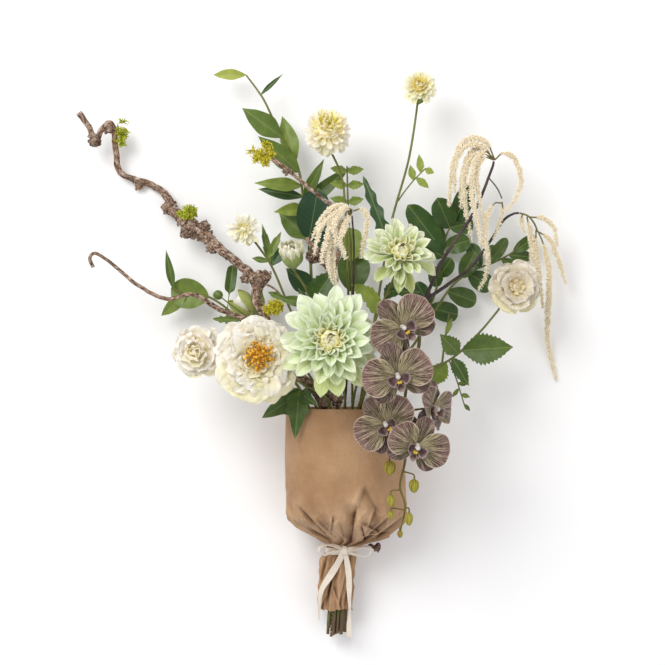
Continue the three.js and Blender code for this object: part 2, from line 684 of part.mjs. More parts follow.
function whiteFlowers() {
  flower("left_ranunculus", {
    at: [198, 351, 146], face: [-0.2, -0.08, 0.97], depth: 15, crown: 27, colour: COLOURS.cream,
    petals: rings({
      counts: [8, 8, 8, 7, 5], core: 15, lifts: [-14, 76], reach: [34, 31], width: [20, 13], ...DOUBLE,
    }),
    slot: [-2, 0], via: [[262, 384, 84], [222, 366, 108]], shorter: 0.1,
    sepals: { count: 5, length: 12, width: 7, lift: -20, neck: 8 },
  });
  flower("pompon", {
    at: [328, 132, 108], face: [0, 0.55, 0.83], depth: 25, crown: 30, colour: COLOURS.cream,
    petals: rings({
      counts: [8, 9, 10, 9, 7, 5], core: 16, lifts: [-42, 82], reach: [33, 34], width: [16, 9], ...DOUBLE,
      edge: EDGE.spike, notch: 0.5,
    }),
    slot: [0.5, -0.866], via: [[349, 310, 66], [345, 204, 80], [340, 172, 86]], shorter: 0.05,
    sepals: { count: 5, length: 9, width: 6, lift: -20, neck: 7 },
  });
  flower("tall_mum", {
    at: [419.5, 87, 92], face: [0, 0.32, 0.95], depth: 10, crown: 14, colour: COLOURS.cream,
    petals: rings({
      counts: [12, 12, 9, 6], core: 8, lifts: [-6, 74], reach: [27, 16], width: [12, 7], ...DOUBLE,
      edge: EDGE.spike,
    }),
    slot: [1, 0], via: [[378, 300, 84], [391, 224, 88], [409, 158, 88]], shorter: 0.12,
    sepals: { count: 4, length: 9, width: 6, lift: -20, neck: 7 },
    leaves: [{ base: [385, 240], tip: [363, 176, 70], width: 22, wave: 1.2 }],
    twigs: [
      {
        route: [[398, 201, 88], [405, 191, 90], [414, 180, 92], [426, 168, 94]],
        leaves: [
          { base: [418, 175], tip: [417, 153, 94], width: 11, kind: "narrow" },
          { base: [412, 182], tip: [410, 163, 90], width: 10, kind: "narrow" },
          { base: [425, 169], tip: [434, 173, 92], width: 10, kind: "narrow" },
          { base: [415, 178], tip: [429, 188, 88], width: 10, kind: "narrow" },
        ],
      },
    ],
  });
  flower("left_daisy", {
    at: [244, 229, 132], face: [-0.1, 0.1, 0.98], depth: 9, crown: 9, colour: COLOURS.cream,
    petals: rings({
      counts: [12, 11, 8, 5], core: 7, lifts: [-4, 60], reach: [25, 13], width: [12, 7], ...DOUBLE,
      edge: EDGE.spike,
    }),
    slot: [-1, 0], via: [[312, 352, 92], [291, 311, 104], [273, 269, 112], [258, 246, 114]], shorter: 0.07,
    sepals: { count: 5, length: 9, width: 5, lift: -20, neck: 7 },
    leaves: [
      { base: [273, 268], tip: [262, 224, 104], width: 11 },
      { base: [268, 258], tip: [281, 232, 108], width: 12 },
      { base: [268, 262], tip: [252, 258, 106], width: 8, kind: "narrow" },
      { base: [286, 300], tip: [268, 292, 98], width: 10 },
      { base: [273, 264], tip: [287, 244, 106], width: 16 },
    ],
  });
  flower("green_bud", {
    at: [293, 262, 158], face: [-0.12, 0.8, 0.6], depth: 8, crown: 24, colour: COLOURS.greenDahlia,
    petals: rings({
      counts: [6, 6, 5, 4], core: 9.5, lifts: [28, 72], reach: [26, 27], width: [15, 8], ...DOUBLE,
    }),
    slot: [-0.5, 0.866], via: [[322, 340, 112], [307, 292, 136]], shorter: 0.03,
    sepals: { count: 6, length: 20, width: 11, lift: 2, neck: 7 },
    leaves: [
      { base: [311, 304], tip: [278, 298, 130], width: 15 },
      { base: [311, 303], tip: [334, 270, 131], width: 38, wave: 0.8 },
      { base: [313, 316], tip: [298, 288, 120], width: 15 },
    ],
  });
  flower("white_bud", {
    at: [253, 313, 84], face: [-0.74, 0.64, 0.15], depth: 5, foot: 4, crown: 41, colour: COLOURS.cream,
    petals: rings({
      counts: [6, 4], core: 11, lifts: [58, 76], reach: [38, 41], width: [16, 8], ...DOUBLE,
      cup: 0.12, bow: -0.02,
    }),
    slot: [-1.5, -0.866], via: [[300, 362, 62], [270, 330, 76]], shorter: 0.08,
    sepals: { count: 4, length: 15, width: 9, lift: 8, neck: 6 },
    twigs: [
      {
        route: [
          [268, 328, 76], [254, 323, 92], [243, 314, 103], [231, 305, 106], [222, 298, 104],
          [218, 295, 103],
        ],
        radius: 2,
      },
    ],
  });
}

// Orchid blooms: where each is, which way it faces, and how far its top sepal is turned from +Y.
const ORCHIDS = [
  { at: [403, 328, 232], face: [0.13, 0, 1], turn: 42, width: 98 },
  { at: [398, 376, 248], face: [0, -0.1, 1], turn: 16, width: 98 },
  { at: [430, 409, 184], face: [0.9, 0, 0.55], turn: -10, width: 84 },
  { at: [387, 424, 211], face: [-0.12, -0.1, 1], turn: 40, width: 92 },
  { at: [416, 446, 224], face: [0.2, -0.2, 1], turn: -22, width: 90 },
];
const ORCHID_LINE = [
  [388, 345, 132], [404, 304, 150], [417, 308, 172], [419, 345, 182], [410, 372, 184], [405, 400, 182],
  [408, 430, 178], [405, 462, 172], [400, 486, 166], [405, 506, 160], [400, 533, 154],
];
// Closed orchid buds: where each hangs, its length and its width.
const ORCHID_BUDS = [
  { at: [390, 468, 172], size: [20, 17] },
  { at: [414, 486, 168], size: [20, 13] },
  { at: [391, 501, 164], size: [18, 12] },
  { at: [391, 515, 160], size: [12, 11] },
  { at: [409, 519, 160], size: [18, 11] },
  { at: [400, 534, 154], size: [10, 8] },
];

function orchidSpray() {
  const route = [...bundled([1, 1.732], 0.03), ...ORCHID_LINE.map(spot)];
  const line = tube(route, [2.6, 2.6, 2.6, 2.2, 1.7, 1.2]);

  const beyondRim = line.curve.getPoints(160).slice(80);
  const near = (target) =>
    beyondRim.reduce((best, p) => (p.distanceTo(target) < best.distanceTo(target) ? p : best));
  const stalks = ORCHIDS.map(({ at, face, turn, width }, i) => {
    const look = new THREE.Vector3(...face).normalize();
    const bloom = mesh("orchid_" + (i + 1), orchid(width), COLOURS.orchid);
    bloom.position.copy(spot(at));
    bloom.quaternion.setFromUnitVectors(UP, look);
    bloom.quaternion.multiply(new THREE.Quaternion().setFromAxisAngle(UP, radians(turn)));
    const top = bloom.position.clone().addScaledVector(look, -ORCHID_DEPTH - GAP);
    const below = top.clone().addScaledVector(look, -7);
    return tube([near(below), below, top], [1.6, 1.4, 2.4]).solid;
  });
  const buds = ORCHID_BUDS.map(({ at, size: [long, wide] }) => {
    const centre = spot(at);
    const foot = centre.clone().add(new THREE.Vector3(0, long * 0.3, 0));
    const shape = new THREE.SphereGeometry(0.5, 5, 4).scale(wide, long, wide).translate(...centre.toArray());
    return [solid(shape), tube([near(foot), foot], [1.3, 1.3]).solid];
  });
  mesh("orchid_spray_stem", fuse([line.solid, stalks, buds]), COLOURS.stem);
}

// Amaranths: the dark stem runs from the bundle through its forks, and each fork carries tassels.
const RIGHT_AMARANTH = {
  slot: [2, 0],
  via: [[400, 348, 70], [424, 301, 76]],
  forks: [
    {
      route: [[424, 301, 76], [444, 258, 82], [474, 212, 88], [491, 171, 96], [493.9, 161.4, 97.9]],
      radii: [2.6, 2.4, 2.2, 1.8, 1.6],
    },
    {
      route: [
        [424, 301, 76], [450, 283, 62], [471, 267, 54], [489, 243, 56], [503, 221, 64], [513, 214, 68],
        [519, 213, 68],
      ],
      radii: [2.6, 2.4, 2.2, 2, 1.8, 1.6, 1.5],
    },
    { route: [[489, 178, 95], [497, 188, 90], [502, 198.5, 84]], radii: [1.5, 1.4, 1.3] },
  ],
};
const TOP_TASSELS = [
  {
    route: [
      [494.5, 159, 99], [486, 142, 104], [470, 138, 104], [457, 152, 96], [451, 178, 84], [449, 206, 70],
    ],
    radius: 7,
  },
  { route: [[494, 160, 100], [482, 147, 96], [468, 157, 92], [462, 182, 82], [461, 208, 66]], radius: 6.5 },
  {
    route: [
      [494, 160, 102], [485, 152, 110], [474, 165, 108], [472, 195, 104], [478, 225, 98], [481, 246, 92],
    ],
    radius: 7,
  },
  {
    route: [
      [494.5, 160, 98], [504, 153, 100], [516, 161, 98], [521, 182, 92], [516, 198, 86], [508, 210, 80],
    ],
    radius: 6,
  },
  {
    route: [
      [501, 203, 83], [494, 204, 88], [486, 220, 92], [486, 244, 90], [488, 264, 84], [484, 280, 76],
      [478, 290, 70],
    ],
    radius: 6,
  },
  { route: [[502, 202, 82], [503, 212, 76], [499, 224, 72], [493, 240, 66]], radius: 4 },
];
const RIGHT_TASSELS = [
  {
    route: [
      [536, 228, 64], [543, 243, 62], [549, 268, 54], [549, 300, 38], [547, 332, 18], [550, 352, 8],
      [553, 366, 3], [556, 380, 1.1],
    ],
    radius: 7.5,
  },
  { route: [[530, 217, 67], [545, 219, 66], [555, 231, 60], [557, 247, 50]], radius: 6 },
  { route: [[537, 231, 63], [550, 240, 58], [559, 262, 42], [566, 285, 26]], radius: 6 },
  { route: [[536, 230, 62], [536, 250, 52], [539, 278, 40], [543, 308, 28]], radius: 6.5 },
  { route: [[527, 217, 67], [530, 230, 58], [532, 248, 50], [531, 270, 44]], radius: 5.5 },
  { route: [[522.6, 214.2, 67.6], [521, 222, 60], [525, 234, 54]], radius: 4.5 },
];
const RIGHT_THREAD = [[519.65, 213.1, 68], [528, 216, 68], [534, 223, 66], [537, 230, 64]];
const MIDDLE_AMARANTH = [[352, 320, 112], [354, 250, 156], [352, 216, 184]];
const MIDDLE_TASSELS = [
  { route: [[352, 210, 190], [340, 207, 196], [326, 215, 192], [316, 234, 184]], radius: 6.5 },
  { route: [[351, 211, 191], [338, 214, 204], [327, 236, 200], [321, 264, 190]], radius: 6.5 },
  { route: [[351, 212, 190], [342, 222, 188], [333, 240, 184], [333, 266, 178], [338, 291, 168]], radius: 7 },
  { route: [[352, 212, 192], [346, 224, 204], [340, 241, 202], [346, 259, 194]], radius: 6 },
  { route: [[353, 211, 190], [362, 209, 190], [367, 220, 186], [364, 238, 178], [361, 258, 170]], radius: 6 },
];

function tasselNode(name, tassels, hub, thread) {
  const threads = tassels.map(({ route, radius }) => tassel(route, radius));
  if (thread) threads.push(tube(thread.map(spot), [1.5, 1.5]).solid);
  const middle = solid(new THREE.IcosahedronGeometry(hub.radius, 0).translate(...spot(hub.at).toArray()));
  mesh(name, rested(fuse([threads, middle])), COLOURS.tassel);
}

function amaranths() {
  const { slot, via, forks } = RIGHT_AMARANTH;
  const trunk = tube([...bundled(slot, 0.05), ...via.map(spot)], [2.6, 2.6, 2.6]);
  const arms = forks.map(({ route, radii }) => tube(route.map(spot), radii).solid);
  mesh("amaranth_stem", fuse([trunk.solid, arms]), COLOURS.darkStem);
  tasselNode("amaranth_top_tassels", TOP_TASSELS.slice(0, 4), { at: [494.3, 158.2, 100.1], radius: 3 });
  tasselNode("amaranth_low_tassels", TOP_TASSELS.slice(4), { at: [502.1, 201, 83.4], radius: 3 });
  tasselNode("amaranth_right_tassels", RIGHT_TASSELS, { at: [536, 229, 63], radius: 3 }, RIGHT_THREAD);
  const middle = [...bundled([0, 0], 0.11), ...MIDDLE_AMARANTH.map(spot)];
  mesh("middle_amaranth_stem", tube(middle, [2.2, 2.2, 2, 1.6]).solid, COLOURS.darkStem);
  tasselNode("middle_amaranth_tassels", MIDDLE_TASSELS, { at: [351.7, 213.8, 186.8], radius: 3.4 });
}

// ---- Branches with lichen --------------------------------------------------------------------------
const SMOOTH_STATIONS = 4;
const BRANCHES = {
  long_branch: [
    {
      slot: [-1.5, 0.866], sides: 5, tied: [2.7, 2.7, 4.6, 7],
      route: [
        [300, 376, 104, 7], [277, 344, 108, 6.5], [266, 318, 109, 6.5], [257, 300, 104, 6.8],
        [258, 287, 97, 8], [263, 280, 92, 9], [253, 275, 86, 7.5], [240, 266, 79, 7],
        [225, 253, 70, 7], [213, 243, 60, 7.5], [203, 234, 52, 10.5], [192, 227, 43, 12],
        [181, 217, 31, 10], [170, 208, 20, 10.5], [166, 196, 11, 8], [155, 187, 5, 7.8],
        [136, 179.5, 9, 7.5], [123, 174, 15, 7], [118, 166, 19, 6.5], [115, 146, 26, 5.8],
        [114, 132, 34, 5.4], [110, 123, 40, 5], [101, 130, 44, 5], [96, 139, 44, 5],
        [89, 127, 46, 4.6], [79, 112, 52, 5],
      ],
    },
    {
      sides: 5,
      route: [
        [269, 328, 110, 4.5], [247, 319, 116, 4], [232, 314, 118, 4], [218, 309, 114, 4],
        [198, 296, 105, 3.6], [185, 295, 100, 3.2], [168, 299, 96, 3], [151, 293, 90, 3],
        [131, 280, 84, 2.8], [112, 264, 78, 2.6], [96, 253, 74, 2.6], [90, 258, 72, 2.6],
        [93, 267, 70, 3],
      ],
    },
    {
      sides: 4,
      route: [[262, 284, 92, 1.8], [270, 286, 97, 1.6], [278, 292, 99, 1.5], [284, 301, 100, 1.5]],
    },
  ],
  short_branch: [
    {
      slot: [-0.5, -0.866], shorter: 0.06, sides: 6, tied: [2.5, 2.5, 2.6, 3.4],
      route: [[337, 335, 82, 5], [333, 278, 110, 6.5], [318, 256, 120, 6], [307, 238, 126, 4]],
    },
    {
      sides: 5,
      route: [
        [332, 276, 112, 4], [341, 240, 124, 3.4], [337, 211, 134, 3], [320, 197, 142, 2.8],
        [298, 178, 146, 2.8], [287, 169, 146, 3.2], [273, 159, 146, 3.6],
      ],
    },
  ],
};
const LICHENS = [
  { name: "lichen_tip", at: [121.5, 132, 34], size: [11, 22, 12] },
  { name: "lichen_bend", at: [188, 213, 43], size: [15, 14, 13] },
  { name: "lichen_top", at: [264, 153, 146], size: [24, 18, 14] },
  { name: "lichen_fork", at: [274, 308, 114], size: [16, 15, 13] },
];
const BARK_SEED = 5;
const LICHEN_SEED = 31;

// The arms of each branch, or with extra, the space to leave clear round them.
function bark(extra = 0) {
  return Object.entries(BRANCHES).map(([name, arms]) => [
    name,
    arms.map((arm, i) => branchArm(arm, BARK_SEED + name.length * i, extra)),
  ]);
}

function branches() {
  for (const [name, arms] of bark()) mesh(name, rested(fuse(arms)), COLOURS.bark);
}

// Each cushion of lichen leaves the bark under it clear.
function lichens() {
  const clear = wasm.Manifold.union(bark(GAP * 1.6).flatMap(([, arms]) => arms));
  LICHENS.forEach(({ name, at, size }, i) => {
    mesh(name, fuse([lichen(at, size, LICHEN_SEED + i).subtract(clear)]), COLOURS.moss);
  });
}

// ---- Leafy stems -----------------------------------------------------------------------------------
// Each stem: its slot, its route past the rim, and its leaves.
const SPRAYS = {
  broad_leaf_spray: {
    slot: [-1, -1.732], colour: COLOURS.leaf, shorter: 0.09,
    via: [
      [314, 310, 30], [309, 235, 38], [303, 195, 44], [297, 165, 50], [279, 132, 52], [266, 104, 50],
      [258, 91, 48], [246, 75, 44],
    ],
    radii: [2.4, 2.4, 2.4, 2.2, 2, 1.7, 1.5, 1.3, 1.2],
    leaves: [
      { base: [247, 76], tip: [213, 75, 34], width: 15, bow: 0.16 },
      { base: [260, 94], tip: [283, 74, 52], width: 7 },
      { base: [281, 138], tip: [242, 108, 56], width: 31 },
      { base: [297, 160], tip: [282, 116, 38], width: 25 },
      { base: [299, 172], tip: [258, 136, 72], width: 29 },
      { base: [301, 184], tip: [254, 183, 64], width: 19, bow: 0.14 },
      { base: [303, 197], tip: [258, 189, 36], width: 17 },
      { base: [304, 200], tip: [324, 159, 66], width: 16 },
      { base: [306, 205], tip: [350, 167, 42], width: 20 },
      { base: [309, 238], tip: [318, 188, 76], width: 46 },
      { base: [304, 208], tip: [274, 212, 56], width: 18 },
      { base: [308, 238], tip: [279, 213, 30], width: 30 },
      { base: [311, 262], tip: [334, 226, 40], width: 34 },
      { base: [313, 292], tip: [286, 268, 40], width: 30 },
    ],
  },
  round_leaf_spray: {
    slot: [1, -1.732], colour: COLOURS.leaf, shorter: 0.04,
    via: [[400, 345, 22], [430, 305, 22], [441, 268, 24], [446, 236, 28], [461, 212, 34]],
    radii: [2.2, 2.2, 2.2, 2, 1.8, 1.6, 1.4],
    leaves: [
      { base: [444, 252], tip: [408, 205, 44], width: 34, kind: "round" },
      { base: [450, 226], tip: [437, 198, 56], width: 33, kind: "round" },
      { base: [457, 222], tip: [471, 184, 50], width: 27, kind: "round" },
      { base: [446, 240], tip: [424, 222, 26], width: 24, kind: "round" },
      { base: [450, 228], tip: [473, 222, 22], width: 28, kind: "round" },
      { base: [443, 258], tip: [423, 242, 30], width: 24, kind: "round" },
      { base: [444, 250], tip: [470, 240, 26], width: 26, kind: "round" },
      { base: [436, 286], tip: [434, 266, 40], width: 20, kind: "round" },
      { base: [440, 276], tip: [452, 258, 40], width: 23, kind: "round" },
      { base: [430, 305], tip: [416, 282, 24], width: 20, kind: "round" },
      { base: [428, 308], tip: [458, 315, 10], width: 28, kind: "round" },
    ],
  },
  arching_leaf_spray: {
    slot: [1.5, -0.866], colour: COLOURS.lightLeaf, shorter: 0.08,
    via: [
      [410, 350, 44], [438, 306, 40], [453, 285, 36], [472, 271, 32], [495, 262, 32], [513, 252, 34],
      [520, 243, 36],
    ],
    radii: [2.2, 2.2, 2.2, 2, 1.8, 1.6, 1.4, 1.2, 1.1],
    leaves: [
      { base: [462, 277], tip: [475, 252, 36], width: 25, kind: "round" },
      { base: [447, 290], tip: [476, 302, 24], width: 27, kind: "round" },
      { base: [466, 273], tip: [492, 288, 22], width: 28, kind: "round" },
      { base: [480, 267], tip: [470, 244, 14], width: 20, kind: "round" },
      { base: [488, 265], tip: [507, 238, 40], width: 17, kind: "round" },
      { base: [498, 261], tip: [488, 246, 20], width: 16, kind: "round" },
      { base: [513, 252], tip: [536, 237, 26], width: 17, kind: "round" },
      { base: [507, 255], tip: [531, 257, 22], width: 16, kind: "round" },
      { base: [500, 259], tip: [523, 271, 24], width: 15, kind: "round" },
    ],
  },
  paired_leaf_sprig: {
    slot: [0, -1.732], colour: COLOURS.lightLeaf, shorter: 0.12,
    via: [[352, 310, 44], [348, 204, 60], [347, 166, 64]],
    radii: [2.5, 2.5, 2, 1.4, 1.1],
    leaves: [
      ...[167, 182, 197].flatMap((py, i) => [
        { base: [347, py + 4], tip: [330, py + 1, 64 + i], width: 12, kind: "narrow" },
        { base: [347, py + 5], tip: [364, py + 2, 64 - i], width: 12, kind: "narrow" },
      ]),
      { base: [350, 262], tip: [351, 228, 46], width: 36, kind: "round" },
      { base: [351, 292], tip: [355, 253, 36], width: 46, kind: "round" },
    ],
  },
  left_leaf_spray: {
    slot: [-2.5, -0.866], colour: COLOURS.leaf, shorter: 0.02,
    via: [[270, 352, 44], [240, 320, 40], [211, 298, 38], [186, 294, 40], [171, 288, 42]],
    radii: [2.2, 2.2, 2.2, 2, 1.7, 1.4, 1.2],
    leaves: [
      { base: [172, 289], tip: [166, 250, 48], width: 12 },
      { base: [210, 298], tip: [171, 291, 30], width: 42, kind: "round" },
      { base: [186, 295], tip: [161, 316, 24], width: 18 },
      { base: [228, 310], tip: [233, 265, 30], width: 16, kind: "narrow" },
      { base: [240, 320], tip: [213, 319, 24], width: 14, wave: 1.2 },
      { base: [262, 342], tip: [236, 338, 16], width: 30, wave: 0.6 },
      { base: [250, 330], tip: [262, 290, 20], width: 26 },
    ],
  },
  ivy_spray: {
    slot: [-2.5, 0.866], colour: COLOURS.leaf, shorter: 0.12,
    via: [[304, 398, 118], [299, 391, 128]],
    radii: [2.5, 2.5, 2, 1.8],
    leaves: [
      { base: [301, 391], tip: [262, 418, 118], width: 36, wave: 1 },
      { base: [301, 391], tip: [295, 439, 134], width: 32, wave: 1 },
      { base: [303, 396], tip: [272, 396, 106], width: 24 },
      { base: [300, 392], tip: [318, 406, 146], width: 20 },
    ],
  },
};

function leafySprays() {
  for (const [name, { slot, via, radii, leaves, colour, shorter }] of Object.entries(SPRAYS)) {
    const stalk = tube([...bundled(slot, shorter), ...via.map(spot)], radii);
    mesh(name, fuse([stalk.solid, leaves.map((leaf) => leafOn(stalk.curve, leaf))]), colour);
  }
}

wrapAndTape();
dahlias();
peonies();
whiteFlowers();
orchidSpray();
amaranths();
branches();
lichens();
leafySprays();

export default bouquet;
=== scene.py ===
"""A mixed flower bouquet in a kraft paper wrap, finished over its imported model.

Lengths are millimetres until a mesh is made. The origin is the middle of the flat spot that the wrap
rests on, +Y runs from the cut stems to the blooms, and the front of the bouquet faces up, along +Z.
"""

from __future__ import annotations

import logging
import math
from collections.abc import Callable
from dataclasses import dataclass, fields, replace
from enum import Enum

import bpy
import numpy as np
from mathutils import Matrix, Vector

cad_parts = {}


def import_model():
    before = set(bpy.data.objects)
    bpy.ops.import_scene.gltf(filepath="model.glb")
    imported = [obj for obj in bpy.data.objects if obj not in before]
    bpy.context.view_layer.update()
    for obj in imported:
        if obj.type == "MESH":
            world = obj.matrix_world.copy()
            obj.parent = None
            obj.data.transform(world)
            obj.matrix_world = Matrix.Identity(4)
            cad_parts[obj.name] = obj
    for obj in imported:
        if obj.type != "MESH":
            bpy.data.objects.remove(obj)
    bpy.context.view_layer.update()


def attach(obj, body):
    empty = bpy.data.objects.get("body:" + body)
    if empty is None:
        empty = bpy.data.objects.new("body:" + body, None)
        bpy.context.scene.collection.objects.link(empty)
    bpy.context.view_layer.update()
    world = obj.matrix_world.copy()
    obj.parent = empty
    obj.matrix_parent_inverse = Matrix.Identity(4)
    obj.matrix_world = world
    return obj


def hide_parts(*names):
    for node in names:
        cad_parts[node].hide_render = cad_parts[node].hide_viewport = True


LOG = logging.getLogger("bouquet")

Array = np.ndarray
Spot = tuple[float, float, float]  # a pixel of the view, across and down, and a height over the surface
Socket = bpy.types.NodeSocket
Paints = dict[str, bpy.types.Material]

MM_PER_PX = 1.45  # one pixel of the view, measured on the surface that the bouquet lies on
MM_PER_M = 1000
EYE_HEIGHT = 4000.0  # how far above that surface the eye is
VIEW_MIDDLE = 332.5  # the middle pixel, across and down
ORIGIN_PX = 345.0  # the pixel that the origin is seen at, across
ORIGIN_PY = 470.0  # and down
SENSOR = 36.0  # the width of the camera's sensor

STEM_R = 2.5  # the radius of a flower stem
PITCH = 5.4  # from stem to stem where they are tied
SPREAD_X = 4.0  # how far the tied bundle opens out at the rim of the wrap, across
SPREAD_Z = 5.5  # and up
GAP = 0.35  # between a bloom and its stem
LOWEST = 0.05  # how high over the surface a piece's lowest point is at least
TAPE_WIDTH = 9.5  # as it lies round the neck, a little drawn in

# The middle of the bundle at the cut ends, at the tie, halfway up the wrap and at its rim.
CUT_END, TIE, INSIDE, RIM = (337, 636, 25), (342, 550, 37), (343.5, 477, 56.5), (345, 404, 76)
UP = np.array([0.0, 0.0, 1.0])
HASH = np.array([127.1, 311.7, 74.7])  # these two turn a place into a number that looks random
HASH_SIZE = 43758.5453


# ---- Points and lines --------------------------------------------------------------------------------
def spot(at: Spot) -> Array:
    """The point that is seen at a pixel, at a height over the surface.

    Args:
        at: the pixel across, the pixel down and the height.

    Returns:
        The point.
    """
    px, py, height = at
    near = 1 - height / EYE_HEIGHT
    x = ((px - VIEW_MIDDLE) * near + VIEW_MIDDLE - ORIGIN_PX) * MM_PER_PX
    y = ((VIEW_MIDDLE - py) * near + ORIGIN_PY - VIEW_MIDDLE) * MM_PER_PX
    return np.array([x, y, height], float)

def vec(x: float, y: float, z: float) -> Array:
    """A point or direction."""
    return np.array([x, y, z], float)

def unit(vector: Array) -> Array:
    """The vector, or each row of an array of them, at length one."""
    vector = np.asarray(vector, float)
    return vector / np.maximum(np.linalg.norm(vector, axis=-1, keepdims=True), 1e-9)


def smooth(points: list[Array] | Array, per_span: int = 10) -> Array:
    """A smooth line through points, with a number of steps from each to the next.

    Args:
        points: the points that it passes.
        per_span: the steps from each to the next.

    Returns:
        The line's points.
    """
    p = np.asarray(points, float)
    ends = np.concatenate([[2 * p[0] - p[1]], p, [2 * p[-1] - p[-2]]])
    t = np.linspace(0, 1, per_span, endpoint=False)[:, None]
    spans = [
        0.5 * (2 * b + (c - a) * t + (2 * a - 5 * b + 4 * c - d) * t**2 + (3 * b - a - 3 * c + d) * t**3)
        for a, b, c, d in zip(ends, ends[1:], ends[2:], ends[3:])
    ]
    return np.concatenate([*spans, p[-1:]])


def along(line: Array) -> Array:
    """How far each point of a line is from its start, along it."""
    return np.concatenate([[0.0], np.cumsum(np.linalg.norm(np.diff(line, axis=0), axis=1))])


def evenly(line: Array, step: float, *values: Array) -> list[Array]:
    """A line and the values at its points, taken again at even steps.

    Args:
        line: the points.
        step: how far apart the new ones are, about.
        values: numbers for each point, such as radii.

    Returns:
        The new points, then the new values.
    """
    far = along(line)
    places = np.linspace(0, far[-1], max(3, round(far[-1] / step) + 1))
    middle = np.stack([np.interp(places, far, line[:, k]) for k in range(3)], axis=1)
    return [middle, *(np.interp(places, far, v) for v in values)]

def course(route: tuple[Spot, ...], per_span: int, step: float) -> Array:
    """A smooth line through spots, at even steps."""
    line, = evenly(smooth([*map(spot, route)], per_span), step)
    return line

def spread(values: list[float] | tuple, count: int) -> Array:
    """Values interpolated to a number of them."""
    return np.interp(np.linspace(0, 1, count), np.linspace(0, 1, len(values)), values)


def frames(line: Array, side: Array = np.array([1.0, 0.0, 0.01])) -> tuple[Array, Array, Array]:
    """The direction of a line at each point, and two directions square to it that don't twist.

    Args:
        line: its points.
        side: a direction that the first of the two starts near.

    Returns:
        The directions ahead, to the side and square to both, at each point.
    """
    ahead = unit(np.gradient(line, axis=0))
    sides = np.empty_like(ahead)
    for i, direction in enumerate(ahead):
        side = unit(side - direction * (side @ direction))
        sides[i] = side
    return ahead, sides, np.cross(ahead, sides)


def noise(points: Array, size: float, seed: float = 0.0) -> Array:
    """Smooth random numbers from -1 to 1 through space, the same for the same seed.

    Args:
        points: where, one row each.
        size: how far apart the bumps are.
        seed: which pattern.

    Returns:
        One number for each point.
    """
    p = np.asarray(points, float) / size + seed * 17.3
    cell = np.floor(p)
    f = p - cell
    f = f * f * (3 - 2 * f)
    total = np.zeros(p.shape[:-1])
    for corner in range(8):
        pick = np.array([corner & 1, corner >> 1 & 1, corner >> 2 & 1])
        draw = np.sin((cell + pick) @ HASH) * HASH_SIZE
        weight = np.prod(np.where(pick, f, 1 - f), axis=-1)
        total += weight * ((draw - np.floor(draw)) * 2 - 1)
    return total


def turned(look: Array, turn: float = 0.0) -> Array:
    """The rotation that takes +Z to a direction, after a turn about +Z in degrees."""
    first = Matrix.Rotation(math.radians(turn), 3, "Z")
    return np.array(Vector(UP).rotation_difference(Vector(unit(look))).to_matrix() @ first)


def raised(angle: float, lift: float) -> tuple[Array, Array, Array]:
    """Out from +Z at an angle, the same with a lift, and the direction square to that one."""
    out = vec(math.cos(angle), math.sin(angle), 0)
    return out, out * math.cos(lift) + UP * math.sin(lift), UP * math.cos(lift) - out * math.sin(lift)

